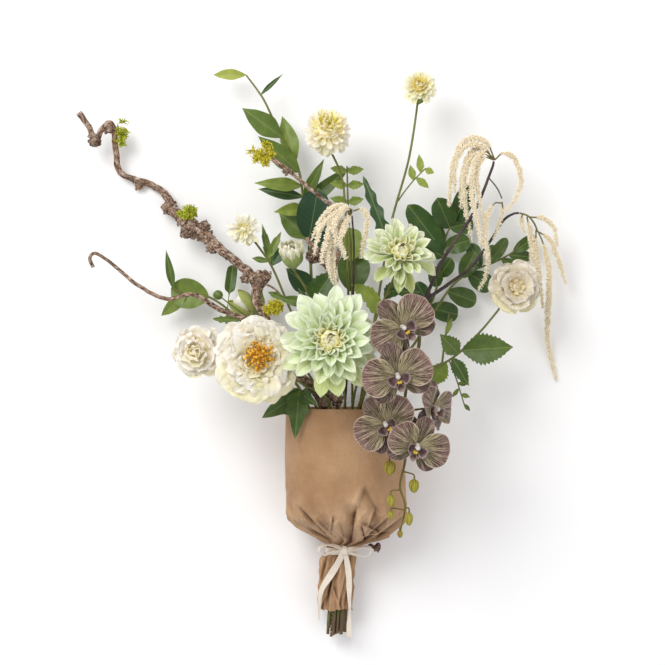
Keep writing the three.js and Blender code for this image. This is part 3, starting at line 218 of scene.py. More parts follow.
# ---- Skins: faces on their way to being a piece -----------------------------------------------------
class Skin:
    """Faces gathered for one piece, with what its finishes read at each point.

    At each point, blade is how far across (-1 to 1) and along (0 to 1) a leaf or petal it is and which
    side it is on, and flat is the same in millimetres. Mood is a petal's or leaf's own tone, how far in
    it is and how low it hangs. The paper keeps its depth, creases and gathers there.
    """

    LAYERS = ("blade", "flat", "mood")

    def __init__(self) -> None:
        """Starts with no faces."""
        self.points: list[Array] = []
        self.faces: list[tuple[Array, int]] = []
        self.layers: dict[str, list[Array]] = {name: [] for name in self.LAYERS}
        self.size = 0

    def add(self, points: Array, faces: list[Array], *layers: Array | tuple, slot: int = 0) -> None:
        """Adds points and the faces between them.

        Args:
            points: one row each.
            faces: arrays of corners, one row for each face.
            layers: blade, flat and mood, each for every point or the same at all.
            slot: which of the piece's finishes they have.
        """
        self.points.append(points)
        self.faces += [(np.asarray(f) + self.size, slot) for f in faces if len(f)]
        for name, values in zip(self.LAYERS, layers):
            self.layers[name].append(np.broadcast_to(np.asarray(values, float), (len(points), 3)))
        self.size += len(points)

    def take(self, mesh: bpy.types.Mesh, rotation: Array | None = None, at: Array | None = None,
             slot: int = 0) -> None:
        """Adds a mesh that is in millimetres, turned and moved, and removes it.

        Args:
            mesh: the mesh.
            rotation: how it is turned, or None to leave it where it is.
            at: where its origin goes.
            slot: its finish.
        """
        count = len(mesh.vertices)
        points = np.empty(count * 3, np.float32)
        mesh.vertices.foreach_get("co", points)
        points = points.reshape(-1, 3).astype(float)
        if rotation is not None:
            points = points @ rotation.T + at
        corners = np.empty(len(mesh.loops), np.int32)
        mesh.loops.foreach_get("vertex_index", corners)
        starts, totals = np.empty((2, len(mesh.polygons)), np.int32)  # where a face's corners start
        mesh.polygons.foreach_get("loop_start", starts)
        mesh.polygons.foreach_get("loop_total", totals)
        faces = [corners[starts[totals == k][:, None] + np.arange(k)] for k in np.unique(totals)]
        layers = []
        for name in self.LAYERS:
            values = np.zeros(count * 3, np.float32)
            if name in mesh.attributes:
                mesh.attributes[name].data.foreach_get("vector", values)
            layers.append(values.reshape(-1, 3))
        self.add(points, faces, *layers, slot=slot)
        bpy.data.meshes.remove(mesh)

    def mesh(self, name: str, scale: float = 1.0, sharp: float = 50.0) -> bpy.types.Mesh:
        """The faces as a mesh.

        Args:
            name: its name.
            scale: from millimetres to the mesh's own unit.
            sharp: past this angle in degrees an edge is left sharp.

        Returns:
            The mesh.
        """
        mesh = bpy.data.meshes.new(name)
        points = np.concatenate(self.points) * scale
        mesh.vertices.add(len(points))
        mesh.vertices.foreach_set("co", points.astype(np.float32).ravel())
        totals = np.concatenate([np.full(len(f), f.shape[1]) for f, _ in self.faces])
        corners = np.concatenate([f.ravel() for f, _ in self.faces]).astype(np.int32)
        mesh.loops.add(len(corners))
        mesh.polygons.add(len(totals))
        mesh.polygons.foreach_set("loop_start", (np.cumsum(totals) - totals).astype(np.int32))
        mesh.polygons.foreach_set("vertices", corners)
        slots = np.concatenate([np.full(len(f), slot) for f, slot in self.faces])
        mesh.polygons.foreach_set("material_index", slots.astype(np.int32))
        mesh.update(calc_edges=True)
        for layer, values in self.layers.items():
            made = mesh.attributes.new(layer, "FLOAT_VECTOR", "POINT")
            made.data.foreach_set("vector", np.concatenate(values).astype(np.float32).ravel())
        mesh.shade_smooth()
        mesh.set_sharp_from_angle(angle=math.radians(sharp))
        return mesh

    def piece(self, name: str, finishes: list[bpy.types.Material], node: str, slot: str,
              sharp: float = 50.0) -> bpy.types.Object:
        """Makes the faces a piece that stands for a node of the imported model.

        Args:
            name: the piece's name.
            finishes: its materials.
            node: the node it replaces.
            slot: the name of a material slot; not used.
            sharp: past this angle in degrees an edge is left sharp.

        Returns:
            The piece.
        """
        for points in self.points:
            points[:, 2] = np.maximum(points[:, 2], LOWEST)
        mesh = self.mesh(name, 1 / MM_PER_M, sharp)
        for finish in finishes:
            mesh.materials.append(finish)
        piece = bpy.data.objects.new(name, mesh)
        bpy.context.scene.collection.objects.link(piece)
        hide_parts(node)
        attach(piece, "root")
        LOG.info("%s: %d faces", name, len(mesh.polygons))
        return piece


def grid_faces(rows: int, columns: int, closed: bool = False) -> Array:
    """The four-cornered faces of a grid of points, which turns round on itself if it is closed.

    Args:
        rows: how many rows of points.
        columns: how many points in a row.
        closed: whether each row is a ring.

    Returns:
        Four corners for each face.
    """
    i, j = np.meshgrid(np.arange(rows - 1), np.arange(columns if closed else columns - 1), indexing="ij")
    i, j = i.ravel(), j.ravel()
    k = (j + 1) % columns
    low, high = i * columns, (i + 1) * columns
    return np.stack([low + j, low + k, high + k, high + j], axis=1)


def seam(rows: int, columns: int) -> Array:
    """The faces that join the last row of a grid, which turns round on itself, to its first."""
    k, last = np.arange(columns), (rows - 1) * columns
    return np.stack([last + k, last + (k + 1) % columns, (k + 1) % columns, k], axis=1)

def add_tube(skin: Skin, line: Array, radii: Array, sides: int = 10, slot: int = 0, tone: float = 0.5,
             rough: float = 0.0, grain: float = 8.0, seed: float = 0.0) -> None:
    """Adds a closed tube round a line.

    Args:
        skin: where it goes.
        line: its points.
        radii: one for each point.
        sides: how many round it.
        slot: its finish.
        tone: its own tone.
        rough: how uneven its surface is, as a share of the radius.
        grain: how far apart the bumps are.
        seed: which bumps.
    """
    _, side, other = frames(line)
    rows = len(line)
    angle = np.linspace(0, 2 * np.pi, sides, endpoint=False)
    ring = np.cos(angle)[None, :, None] * side[:, None] + np.sin(angle)[None, :, None] * other[:, None]
    size = np.broadcast_to(np.asarray(radii, float), rows)[:, None]
    if np.any(rough):
        where = line[:, None] + ring * size[..., None]
        chips = 1 - 2 * np.abs(noise(where, grain, seed))
        fine = noise(where, grain * 0.35, seed + 1)
        size = size * (1 + rough * (0.75 * chips + 0.45 * fine))
    points = (line[:, None] + ring * size[..., None]).reshape(-1, 3)
    k, last = np.arange(sides), (rows - 1) * sides
    low = np.stack([np.full(sides, rows * sides), (k + 1) % sides, k], axis=1)
    high = np.stack([np.full(sides, rows * sides + 1), last + k, last + (k + 1) % sides], axis=1)
    far = along(line)
    turn = np.broadcast_to(angle[None, :] / np.pi - 1, (rows, sides))
    reach = np.broadcast_to(far[:, None], (rows, sides))
    blade = np.stack([turn, reach / far[-1], np.ones_like(reach)], axis=-1).reshape(-1, 3)
    flat = np.stack([np.cos(angle)[None, :] * size, np.sin(angle)[None, :] * size, reach], axis=-1)
    skin.add(
        np.concatenate([points, line[:1], line[-1:]]),
        [grid_faces(rows, sides, closed=True), low, high],
        np.concatenate([blade, [[0, 0, 2.0], [0, 1, 2.0]]]),
        np.concatenate([flat.reshape(-1, 3), [[0, 0, 0], [0, 0, far[-1]]]]),
        (tone, 0, 0),
        slot=slot,
    )


# ---- Leaves and petals ------------------------------------------------------------------------------
class Form(Enum):
    """Outlines of leaves and petals: how far along, and the half width there as a share of the widest."""

    LEAF = ((0, 0.08), (0.12, 0.5), (0.38, 1), (0.7, 0.7), (0.9, 0.24), (1, 0.01))
    ROUND = ((0, 0.08), (0.1, 0.52), (0.35, 0.93), (0.65, 1), (0.88, 0.72), (0.97, 0.36), (1, 0.05))
    PADDLE = ((0, 0.1), (0.33, 0.12), (0.42, 0.85), (0.6, 1), (0.88, 0.92), (0.97, 0.6), (1, 0.1))
    NARROW = ((0, 0.15), (0.2, 0.7), (0.5, 1), (0.8, 0.55), (1, 0.01))
    LOBED = ((0, 0.1), (0.12, 0.6), (0.2, 1), (0.3, 0.62), (0.44, 0.95), (0.54, 0.5), (0.68, 0.72),
             (0.78, 0.4), (0.9, 0.3), (1, 0.02))
    IVY = ((0, 0.1), (0.06, 0.62), (0.16, 0.95), (0.3, 0.86), (0.42, 1), (0.56, 0.62), (0.8, 0.34), (1, 0.01))
    DAHLIA = ((0, 0.3), (0.3, 0.62), (0.58, 1), (0.76, 0.93), (0.9, 0.55), (1, 0.02))
    RAY = ((0, 0.3), (0.4, 0.7), (0.75, 1), (0.9, 0.8), (1, 0.1))
    BROAD = ((0, 0.3), (0.22, 0.66), (0.5, 0.95), (0.75, 1), (0.9, 0.8), (0.98, 0.4), (1, 0.12))
    FAN = ((0, 0.16), (0.14, 0.52), (0.34, 0.88), (0.56, 1), (0.76, 0.93), (0.9, 0.66), (0.98, 0.28),
           (1, 0.04))
    SEPAL = ((0, 0.3), (0.25, 0.72), (0.52, 1), (0.76, 0.86), (0.92, 0.5), (1, 0.05))


ROUND, NARROW = Form.ROUND, Form.NARROW


@dataclass(frozen=True)
class Blade:
    """The shape of a leaf or petal, mostly as shares of its own length and width.

    Attributes:
        form: its outline.
        cup: how far its edges stand above its midrib.
        bow: how far the middle of its length is raised.
        curl: how far its tip is turned up.
        wave: how far its edge waves, in millimetres, and waves how often.
        ruffle: how far it crumples towards its tip, in millimetres.
        crumple: how high its fine creases are, in millimetres.
        tooth: how deep the teeth of its edge are, and teeth how many.
        rib: the groove along its midrib, in millimetres.
        fold: ridges fanning out from its root, in millimetres, and folds how many.
        thick: its thickness, in millimetres.
        rows: steps along it.
        columns: points across it.
    """

    form: Form = Form.LEAF
    cup: float = 0.3
    bow: float = 0.06
    curl: float = 0.0
    wave: float = 0.0
    waves: float = 3.0
    ruffle: float = 0.0
    crumple: float = 0.0
    tooth: float = 0.0
    teeth: int = 0
    rib: float = 0.4
    fold: float = 0.0
    folds: float = 3.0
    thick: float = 0.6
    rows: int = 17
    columns: int = 9

    def towards(self, other: Blade, share: float) -> Blade:
        """A shape between this one and another.

        Args:
            other: the other shape.
            share: how far towards it, from 0 to 1.

        Returns:
            The shape, with this one's form and counts.
        """
        mixed = {}
        for f in fields(self):
            a, b = getattr(self, f.name), getattr(other, f.name)
            if isinstance(a, float):
                mixed[f.name] = a + (b - a) * share
        return replace(self, **mixed)

    def add_to(self, skin: Skin, root: Array, axes: tuple[Array, Array, Array], length: float, width: float,
               mood: tuple = (0.5, 0, 0), seed: float = 0.0, slot: int = 0) -> None:
        """Adds a leaf or petal of this shape, as a closed skin with thin edges.

        Args:
            skin: where it goes.
            root: where it starts.
            axes: its directions across, along and out of its face.
            length: from root to tip.
            width: at its widest.
            mood: its own tone, and how far in it is.
            seed: which waves it has.
            slot: its finish.
        """
        outline = smooth([np.array([*p, 0]) for p in self.form.value], 8)
        t = np.linspace(0, 1, self.rows)
        half = np.interp(t, np.maximum.accumulate(outline[:, 0]), np.maximum(outline[:, 1], 0)) * width / 2
        if self.teeth:
            half = half * (1 + self.tooth * ((t * self.teeth) % 1 - 0.5) * 2 * (t < 0.97))
        half = np.maximum(half, 0.12)[:, None]
        s = np.linspace(-1, 1, self.columns)[None, :]
        s = np.sign(s) * np.abs(s) ** 0.85
        t = t[:, None]
        x, y = s * half, t * length * np.ones_like(s)  # across it and along it
        z = self.cup * half * np.abs(s) ** 1.5
        z = z + 4 * t * (1 - t) * self.bow * length + self.curl * length * t**3
        phase = seed * 2.4
        beat = np.sin(2 * np.pi * self.waves * t + phase + np.sign(s) * 1.3)
        z = z + self.wave * beat * s**2 * np.minimum(1, 3 * t)
        if self.fold:
            z = z + self.fold * np.cos(s * np.pi * self.folds + phase) * t * (1 - 0.4 * t)
        if self.ruffle:
            flat = np.stack([x, y, np.full_like(y, seed * 31.7)], axis=-1)
            z = z + self.ruffle * noise(flat, width * 0.3, seed) * (t**1.5 + 0.5 * s**2)
            z = z + self.crumple * (1 - 2 * np.abs(noise(flat, 6.5, seed + 9))) * t
            y = y + self.ruffle * 0.9 * noise(flat, width * 0.2, seed + 5) * t**4
        z = z - self.rib * np.exp(-((x / 1.3) ** 2)) * np.sin(np.pi * t)
        across, forward, face = axes
        points = root + x[..., None] * across + y[..., None] * forward + z[..., None] * face
        normal = unit(np.cross(np.gradient(points, axis=1), np.gradient(points, axis=0)))
        rows, columns = x.shape
        inner = np.zeros((rows, columns), bool)
        inner[1:-1, 1:-1] = True
        skin_depth = np.where(inner, self.thick / 2, 0)[..., None]
        front = np.arange(rows * columns).reshape(rows, columns)
        back = front.copy()
        back[inner] = rows * columns + np.arange(inner.sum())
        quads = grid_faces(rows, columns)
        under = back.ravel()[quads][:, ::-1]
        blade = np.stack(np.broadcast_arrays(s, t, 1.0), axis=-1)
        flat = np.stack([x, y, np.full_like(x, half.max())], axis=-1)
        below = blade[inner] * [1, 1, -1]
        skin.add(
            np.concatenate([(points + normal * skin_depth).reshape(-1, 3),
                            (points - normal * skin_depth)[inner]]),
            [quads, under],
            np.concatenate([blade.reshape(-1, 3), below]),
            np.concatenate([flat.reshape(-1, 3), flat[inner]]),
            mood,
            slot=slot,
        )


def blade_axes(axis: Array, up: Array) -> tuple[Array, Array, Array]:
    """The directions across, along and out of the face of a blade that runs along an axis.

    Args:
        axis: the way that it runs.
        up: the way that its face is turned, about.

    Returns:
        The three directions.
    """
    forward = unit(axis)
    across = unit(np.cross(forward, up))
    return across, forward, np.cross(across, forward)


# ---- Node trees --------------------------------------------------------------------------------------
class Graph:
    """A node tree under construction.

    In add and wire, a name in lower case sets a property of the node and a capitalised one an input: _
    stands for a space, a list fills several inputs of that name, and a socket is linked.
    """

    def __init__(self, tree: bpy.types.NodeTree) -> None:
        """Works on a tree."""
        self.tree = tree

    def plug(self, socket: Socket, given: object) -> None:
        """Links something to an input, or sets the input to a plain value.

        Args:
            socket: the input.
            given: a socket, a term or a value, or None to leave it.
        """
        given = getattr(given, "socket", given)
        if isinstance(given, Socket):
            self.tree.links.new(given, socket)
        elif given is not None:
            socket.default_value = given

    def add(self, kind: str, **values: object) -> bpy.types.Node:
        """Adds a node of a kind, with its properties and inputs, and returns it.

        Args:
            kind: the node's kind.
            values: properties by their lower-case names, and inputs by their capital ones.

        Returns:
            The node.
        """
        node = self.tree.nodes.new(kind)
        for name, value in values.items():
            if name[0].islower():
                setattr(node, name, value)
        for name, value in values.items():
            if name[0].isupper():
                sockets = [s for s in node.inputs if s.enabled and s.name == name.replace("_", " ")]
                for socket, given in zip(sockets, value if isinstance(value, list) else [value]):
                    self.plug(socket, given)
        return node

    def wire(self, kind: str, **values: object) -> Socket:
        """Adds a node as add does, and returns its first output."""
        return next(s for s in self.add(kind, **values).outputs if s.enabled)


SOCKETS = {
    float: "NodeSocketFloat",
    int: "NodeSocketInt",
    bpy.types.Object: "NodeSocketObject",
    bpy.types.Material: "NodeSocketMaterial",
}


class Repeat(Graph):
    """A Geometry Nodes tree that repeats a piece, with named inputs."""

    def __init__(self, name: str, **inputs: type) -> None:
        """Starts the tree.

        Args:
            name: its name.
            inputs: the kinds of its own inputs. Every tree has the piece, its finish, a seed and how far
                in its copies count as.
        """
        super().__init__(bpy.data.node_groups.new(name, "GeometryNodeTree"))
        new = self.tree.interface.new_socket
        for way in ("OUTPUT", "INPUT"):
            new("Geometry", in_out=way, socket_type="NodeSocketGeometry")
        shared = {"Piece": bpy.types.Object, "Finish": bpy.types.Material, "Seed": int, "Inward": float}
        self.names = {}
        for key, kind in {**shared, **inputs}.items():
            self.names[key] = new(key, in_out="INPUT", socket_type=SOCKETS[kind]).identifier
        self.inputs = self.tree.nodes.new("NodeGroupInput").outputs

    def draw(self, low: object, high: object, salt: int) -> Socket:
        """A random number from low to high for each copy, with the tree's seed and a salt.

        Args:
            low: the least.
            high: the most.
            salt: tells this draw from the others.

        Returns:
            The number.
        """
        terms = [self.inputs["Seed"], 13.0, float(salt)]
        seed = self.wire("ShaderNodeMath", operation="MULTIPLY_ADD", Value=terms)
        return self.wire("FunctionNodeRandomValue", Min=low, Max=high, Seed=seed)

    def place(self, points: object, rotation: object, scale: object) -> None:
        """Ends the tree: a copy at each point, with its tone, made real and finished.

        Args:
            points: where the copies go.
            rotation: how each is turned.
            scale: how large each is.
        """
        inputs = self.inputs
        copy = self.add("GeometryNodeObjectInfo", Object=inputs["Piece"]).outputs["Geometry"]
        copies = self.wire("GeometryNodeInstanceOnPoints", Points=points, Instance=copy, Rotation=rotation,
                           Scale=scale)
        mood = self.wire("ShaderNodeCombineXYZ", X=self.draw(0.0, 1.0, 1), Y=inputs["Inward"])
        told = self.wire("GeometryNodeStoreNamedAttribute", data_type="FLOAT_VECTOR", domain="INSTANCE",
                         Geometry=copies, Name="mood", Value=mood)
        real = self.wire("GeometryNodeRealizeInstances", Geometry=told)
        done = self.wire("GeometryNodeSetMaterial", Geometry=real, Material=inputs["Finish"])
        self.add("NodeGroupOutput", Geometry=done)

    def run(self, base: bpy.types.Mesh | None, values: dict[str, object]) -> bpy.types.Mesh:
        """Runs the tree.

        Args:
            base: the mesh it works on, or None.
            values: what goes into each named input.

        Returns:
            The result as a plain mesh.
        """
        host = bpy.data.objects.new("host", base or bpy.data.meshes.new("host"))
        work = host.modifiers.new("repeat", "NODES")
        work.node_group = self.tree
        for name, value in values.items():
            work[self.names[name]] = value
        bpy.context.scene.collection.objects.link(host)
        bpy.context.view_layer.update()
        made = bpy.data.meshes.new_from_object(host.evaluated_get(bpy.context.evaluated_depsgraph_get()))
        host.modifiers.remove(work)
        used = host.data
        bpy.data.objects.remove(host)
        bpy.data.meshes.remove(used)
        return made


def petal_ring() -> Repeat:
    """The tree that sets petals round a circle: each stands out from it, lifted by an angle.

    Returns:
        The tree.
    """
    ring = Repeat("petal_ring", Count=int, Radius=float, Height=float, Lift=float, Turn=float, Loose=float)
    inputs = ring.inputs
    circle = ring.wire("GeometryNodeMeshCircle", Vertices=inputs["Count"], Radius=inputs["Radius"])
    spin = ring.wire("ShaderNodeCombineXYZ", Z=inputs["Turn"])
    rise = ring.wire("ShaderNodeCombineXYZ", Z=inputs["Height"])
    circle = ring.wire("GeometryNodeTransform", Geometry=circle, Translation=rise, Rotation=spin)
    where = ring.add("ShaderNodeSeparateXYZ", Vector=ring.wire("GeometryNodeInputPosition")).outputs
    turn = ring.wire("ShaderNodeMath", operation="ARCTAN2", Value=[where["Y"], where["X"]])

    def loosely(value: object, amount: float, salt: int) -> Socket:
        """A value, give or take an amount times Loose."""
        drawn = ring.draw(-amount, amount, salt)
        return ring.wire("ShaderNodeMath", operation="MULTIPLY_ADD", Value=[drawn, inputs["Loose"], value])

    lift = ring.wire("ShaderNodeMath", operation="MULTIPLY", Value=[loosely(inputs["Lift"], 0.13, 2), -1.0])
    euler = ring.wire("ShaderNodeCombineXYZ", X=loosely(0.0, 0.22, 3), Y=lift, Z=loosely(turn, 0.09, 4))
    rotation = ring.wire("FunctionNodeEulerToRotation", Euler=euler)
    size = ring.wire("ShaderNodeCombineXYZ", X=loosely(1.0, 0.1, 5), Y=loosely(1.0, 0.1, 6),
                     Z=loosely(1.0, 0.2, 7))
    ring.place(circle, rotation, size)
    return ring


def scatter() -> Repeat:
    """The tree that scatters a small piece over faces: each stands out from them, leaning at random.

    Returns:
        The tree.
    """
    tree = Repeat("scatter", Density=float, Smallest=float, Largest=float, Lean=float)
    inputs = tree.inputs
    spots = tree.add("GeometryNodeDistributePointsOnFaces", Mesh=inputs["Geometry"],
                     Density=inputs["Density"], Seed=inputs["Seed"]).outputs
    lean, tip = (
        tree.wire("ShaderNodeMath", operation="MULTIPLY", Value=[tree.draw(-1.0, 1.0, salt), inputs["Lean"]])
        for salt in (2, 3)
    )
    euler = tree.wire("ShaderNodeCombineXYZ", X=lean, Y=tip, Z=tree.draw(0.0, 6.283, 4))
    bent = tree.wire("FunctionNodeRotateRotation", rotation_space="LOCAL", Rotation=spots["Rotation"],
                     Rotate_By=tree.wire("FunctionNodeEulerToRotation", Euler=euler))
    tree.place(spots["Points"], bent, tree.draw(inputs["Smallest"], inputs["Largest"], 5))
    return tree


@dataclass(frozen=True)
class Strewn:
    """How a small piece is scattered.

    Attributes:
        density: how many there are to a square millimetre.
        smallest: the smallest scale.
        largest: and the largest.
        lean: how far they lean at most, in radians.
    """

    density: float
    smallest: float
    largest: float
    lean: float


FLORETS = Strewn(0.5, 0.45, 1.2, 0.7)
BARK_FLAKES = Strewn(0.02, 0.4, 1.6, 1.1)
LICHEN_THREADS = Strewn(0.09, 0.5, 1.45, 0.9)


class Workshop:
    """The node trees and small pieces that are made once and used again."""

    def __init__(self) -> None:
        """Builds the trees."""
        self.ring = petal_ring()
        self.scatter = scatter()
        self.patterns: list[bpy.types.Object] = []

    def pattern(self, skin: Skin) -> bpy.types.Object:
        """A skin as an object that the trees can copy. It is removed by clear.

        Args:
            skin: the piece.

        Returns:
            The object.
        """
        made = bpy.data.objects.new("pattern", skin.mesh("pattern"))
        self.patterns.append(made)
        return made

    def strew(self, skin: Skin, ground: bpy.types.Mesh, piece: bpy.types.Object, how: Strewn,
              seed: int) -> None:
        """Scatters copies of a small piece over a mesh, which is used up, and adds them to a skin."""
        values = {"Piece": piece, "Density": how.density, "Smallest": how.smallest, "Largest": how.largest}
        skin.take(self.scatter.run(ground, {**values, "Lean": how.lean, "Inward": 0.0, "Seed": seed}))

    def clear(self) -> None:
        """Removes what was only copied."""
        for made in self.patterns:
            mesh = made.data
            bpy.data.objects.remove(made)
            bpy.data.meshes.remove(mesh)
        self.patterns = []


# ---- Finishes ----------------------------------------------------------------------------------------
def hue(code: str) -> tuple[float, float, float, float]:
    """A colour such as #cfe3b8 as linear light."""
    parts = [int(code[i : i + 2], 16) / 255 for i in (1, 3, 5)]
    return (*(c / 12.92 if c < 0.04045 else ((c + 0.055) / 1.055) ** 2.4 for c in parts), 1.0)


def worked(operation: str, swapped: bool = False) -> Callable[[Term, object], Term]:
    """A method that works out an operation on a term and something else, in either order.

    Args:
        operation: the operation.
        swapped: whether the something else comes first.

    Returns:
        The method.
    """

    def method(term: Term, other: object) -> Term:
        """Works it out."""
        return term.paint.math(operation, *((other, term) if swapped else (term, other)))

    return method


class Term:
    """A number of a material, which sums can be written with."""

    __add__ = __radd__ = worked("ADD")
    __mul__ = __rmul__ = worked("MULTIPLY")
    __sub__, __rsub__ = worked("SUBTRACT"), worked("SUBTRACT", True)
    __truediv__ = worked("DIVIDE")

    def __init__(self, paint: Paint, socket: Socket) -> None:
        """Keeps the socket that it comes from."""
        self.paint, self.socket = paint, socket

    def __abs__(self) -> Term:
        """The number without its sign."""
        return self.paint.math("ABSOLUTE", self)


class Paint(Graph):
    """A material under construction."""

    def __init__(self, name: str) -> None:
        """Starts a material with only its shader.

        Args:
            name: the material's name.
        """
        self.material = bpy.data.materials.new(name)
        self.material.use_nodes = True
        super().__init__(self.material.node_tree)
        self.tree.nodes.clear()
        self.shader = self.add("ShaderNodeBsdfPrincipled")
        self.add("ShaderNodeOutputMaterial", Surface=self.shader.outputs[0])

    def wire(self, kind: str, **values: object) -> Term:
        """Adds a node, and returns its first output."""
        return Term(self, super().wire(kind, **values))

    def split(self, vector: object) -> list[Term]:
        """The three numbers of a vector."""
        return [Term(self, out) for out in self.add("ShaderNodeSeparateXYZ", Vector=vector).outputs]

    def layer(self, name: str) -> list[Term]:
        """The three numbers of one of the piece's layers."""
        return self.split(self.add("ShaderNodeAttribute", attribute_name=name).outputs["Vector"])

    def place(self) -> Socket:
        """Where a point is on the piece, in metres."""
        return self.add("ShaderNodeTexCoord").outputs["Object"]

    def math(self, operation: str, *values: object) -> Term:
        """A sum worked out on terms and numbers."""
        return self.wire("ShaderNodeMath", operation=operation, Value=list(values))

    def vector(self, x: object, y: object, z: object = 0.0) -> Term:
        """Three numbers as a vector."""
        return self.wire("ShaderNodeCombineXYZ", X=x, Y=y, Z=z)

    def noise(self, vector: object, scale: float, detail: float = 3.0, distortion: float = 0.0) -> Term:
        """Cloudy numbers round a half."""
        return self.wire("ShaderNodeTexNoise", Vector=vector, Scale=scale, Detail=detail,
                         Distortion=distortion)

    def step(self, value: object, low: float, high: float) -> Term:
        """A soft step from 0 at low to 1 at high."""
        return self.wire("ShaderNodeMapRange", interpolation_type="SMOOTHSTEP", Value=value, From_Min=low,
                         From_Max=high)

    def mix(self, share: object, first: object, second: object, how: str = "MIX") -> Term:
        """Two colours mixed.

        Args:
            share: how much of the second shows.
            first: the first colour.
            second: and the second.
            how: how they are mixed.

        Returns:
            The mixed colour.
        """
        node = self.tree.nodes.new("ShaderNodeMix")
        node.data_type, node.blend_type = "RGBA", how
        for place, given in ((0, share), (6, first), (7, second)):  # the inputs that a colour mix has
            self.plug(node.inputs[place], hue(given) if isinstance(given, str) else given)
        return Term(self, node.outputs[2])

    def shade(self, colour: object, share: object) -> Term:
        """A colour with a share of its light."""
        return self.mix(1.0, colour, self.vector(share, share, share), "MULTIPLY")

    def ramp(self, value: object, *stops: tuple[float, str]) -> Term:
        """Colours by a number, each at its place from 0 to 1.

        Args:
            value: the number.
            stops: the places, each with its colour.

        Returns:
            The colour.
        """
        node = self.add("ShaderNodeValToRGB", Fac=value)
        marks = node.color_ramp.elements
        for mark, (place, colour) in ((marks[0], stops[0]), (marks[1], stops[-1])):
            mark.position, mark.color = place, hue(colour)
        for place, colour in stops[1:-1]:
            marks.new(place).color = hue(colour)
        return Term(self, node.outputs[0])

    def done(self, colour: object, rough: object, relief: object = None, depth: float = 0.0003,
             strength: float = 0.6, **fixed: object) -> bpy.types.Material:
        """Finishes the shader.

        Args:
            colour: its colour.
            rough: its roughness.
            relief: the height of fine relief, from 0 to 1.
            depth: how deep that relief is, in metres.
            strength: how much of it shows.
            fixed: other inputs of the shader, the same all over.

        Returns:
            The material.
        """
        values = {"Base Color": colour, "Roughness": rough}
        if relief is not None:
            values["Normal"] = self.wire("ShaderNodeBump", Height=relief, Distance=depth, Strength=strength)
        for name, value in {**values, **fixed}.items():
            self.plug(self.shader.inputs[name.replace("_", " ")], value)
        return self.material


@dataclass(frozen=True)
class PetalFinish:
    """A soft petal: its colour runs from its root to its edge, streaked by fine veins.

    Attributes:
        name: the material's name.
        root: its colour at the root.
        middle: and halfway.
        edge: and along its edge.
        heart: the colour of the innermost petals.
        streak: the colour of the veins.
        veins: how strongly they show.
        reach: how far in from the edge its colour comes.
        tinge: the colour of the lowest petals.
    """

    name: str
    root: str
    middle: str
    edge: str
    heart: str
    streak: str
    veins: float = 0.35
    reach: float = 0.55
    tinge: str = "#efe6a8"

    def make(self) -> bpy.types.Material:
        """The material.

        Returns:
            The material.
        """
        p = Paint(self.name)
        across, run, _ = p.layer("blade")
        x, y, _ = p.layer("flat")
        tone, inward, low = p.layer("mood")
        streaks = p.noise(p.vector(x, y * 0.07, tone), 1.6, 4.0, 0.4)
        body = p.ramp(run, (0.0, self.root), (0.5, self.middle), (1.0, self.middle))
        border = p.math("MAXIMUM", abs(across), run * 0.97) + streaks * 0.2
        colour = p.mix(p.step(border, self.reach + 0.1, 1.12), body, self.edge)
        vein = p.step(streaks, 0.5, 0.68) * self.veins
        colour = p.mix(vein * (1.15 - run), colour, self.streak)
        colour = p.mix(p.step(inward, 0.35, 1.0) * (1.4 - run), colour, self.heart)
        colour = p.mix(low * 0.75, colour, self.tinge)
        soft = {"Subsurface_Weight": 0.4, "Subsurface_Scale": 0.006, "Subsurface_Radius": (1.0, 0.85, 0.7)}
        return p.done(p.shade(colour, tone * 0.1 + 0.92), 0.62, streaks, 0.0005, 0.4, Sheen_Weight=0.12,
                      Specular_IOR_Level=0.2, **soft)


@dataclass(frozen=True)
class OrchidFinish:
    """An orchid's petal: green-yellow veins fan out from its root over brown-mauve, to a pink rim."""

    name: str = "orchid_petal"
    ground: str = "#35241a"
    vein: str = "#bbae84"
    rim: str = "#cbb3a2"
    blush: str = "#67493f"
    outer_vein: str = "#c6ac9c"

    def make(self) -> bpy.types.Material:
        """The material.

        Returns:
            The material.
        """
        p = Paint(self.name)
        across, run, _ = p.layer("blade")
        x, y, _ = p.layer("flat")
        tone = p.layer("mood")[0]
        reach = y + 4.0
        angle, far = p.math("ARCTAN2", x, reach), p.math("SQRT", x * x + reach * reach)
        coarse = p.noise(p.vector(angle * 42.0, far * 0.045, tone), 1.0, 3.0, 0.35)
        fine = p.noise(p.vector(angle * 85.0, far * 0.1, tone), 1.0, 3.0, 0.6)
        fade = p.step(run, 0.12, 0.95) * 0.05
        net = p.step(coarse * 0.55 + fine * 0.45 - fade, 0.455, 0.515)
        cloud = p.noise(p.place(), 60.0, 2.0)
        ground = p.mix(p.step(run + cloud * 0.3, 0.5, 1.15), self.ground, self.blush)
        vein = p.mix(p.step(run, 0.3, 0.95), self.vein, self.outer_vein)
        colour = p.mix(net * (run * -0.3 + 0.95), ground, vein)
        border = p.step(p.math("MAXIMUM", abs(across), run * 0.985), 0.92, 0.99)
        colour = p.shade(p.mix(border * 0.85, colour, self.rim), tone * 0.42 + 0.62)
        return p.done(colour, 0.5, net, 0.0004, 0.4, Sheen_Weight=0.05, Specular_IOR_Level=0.3)


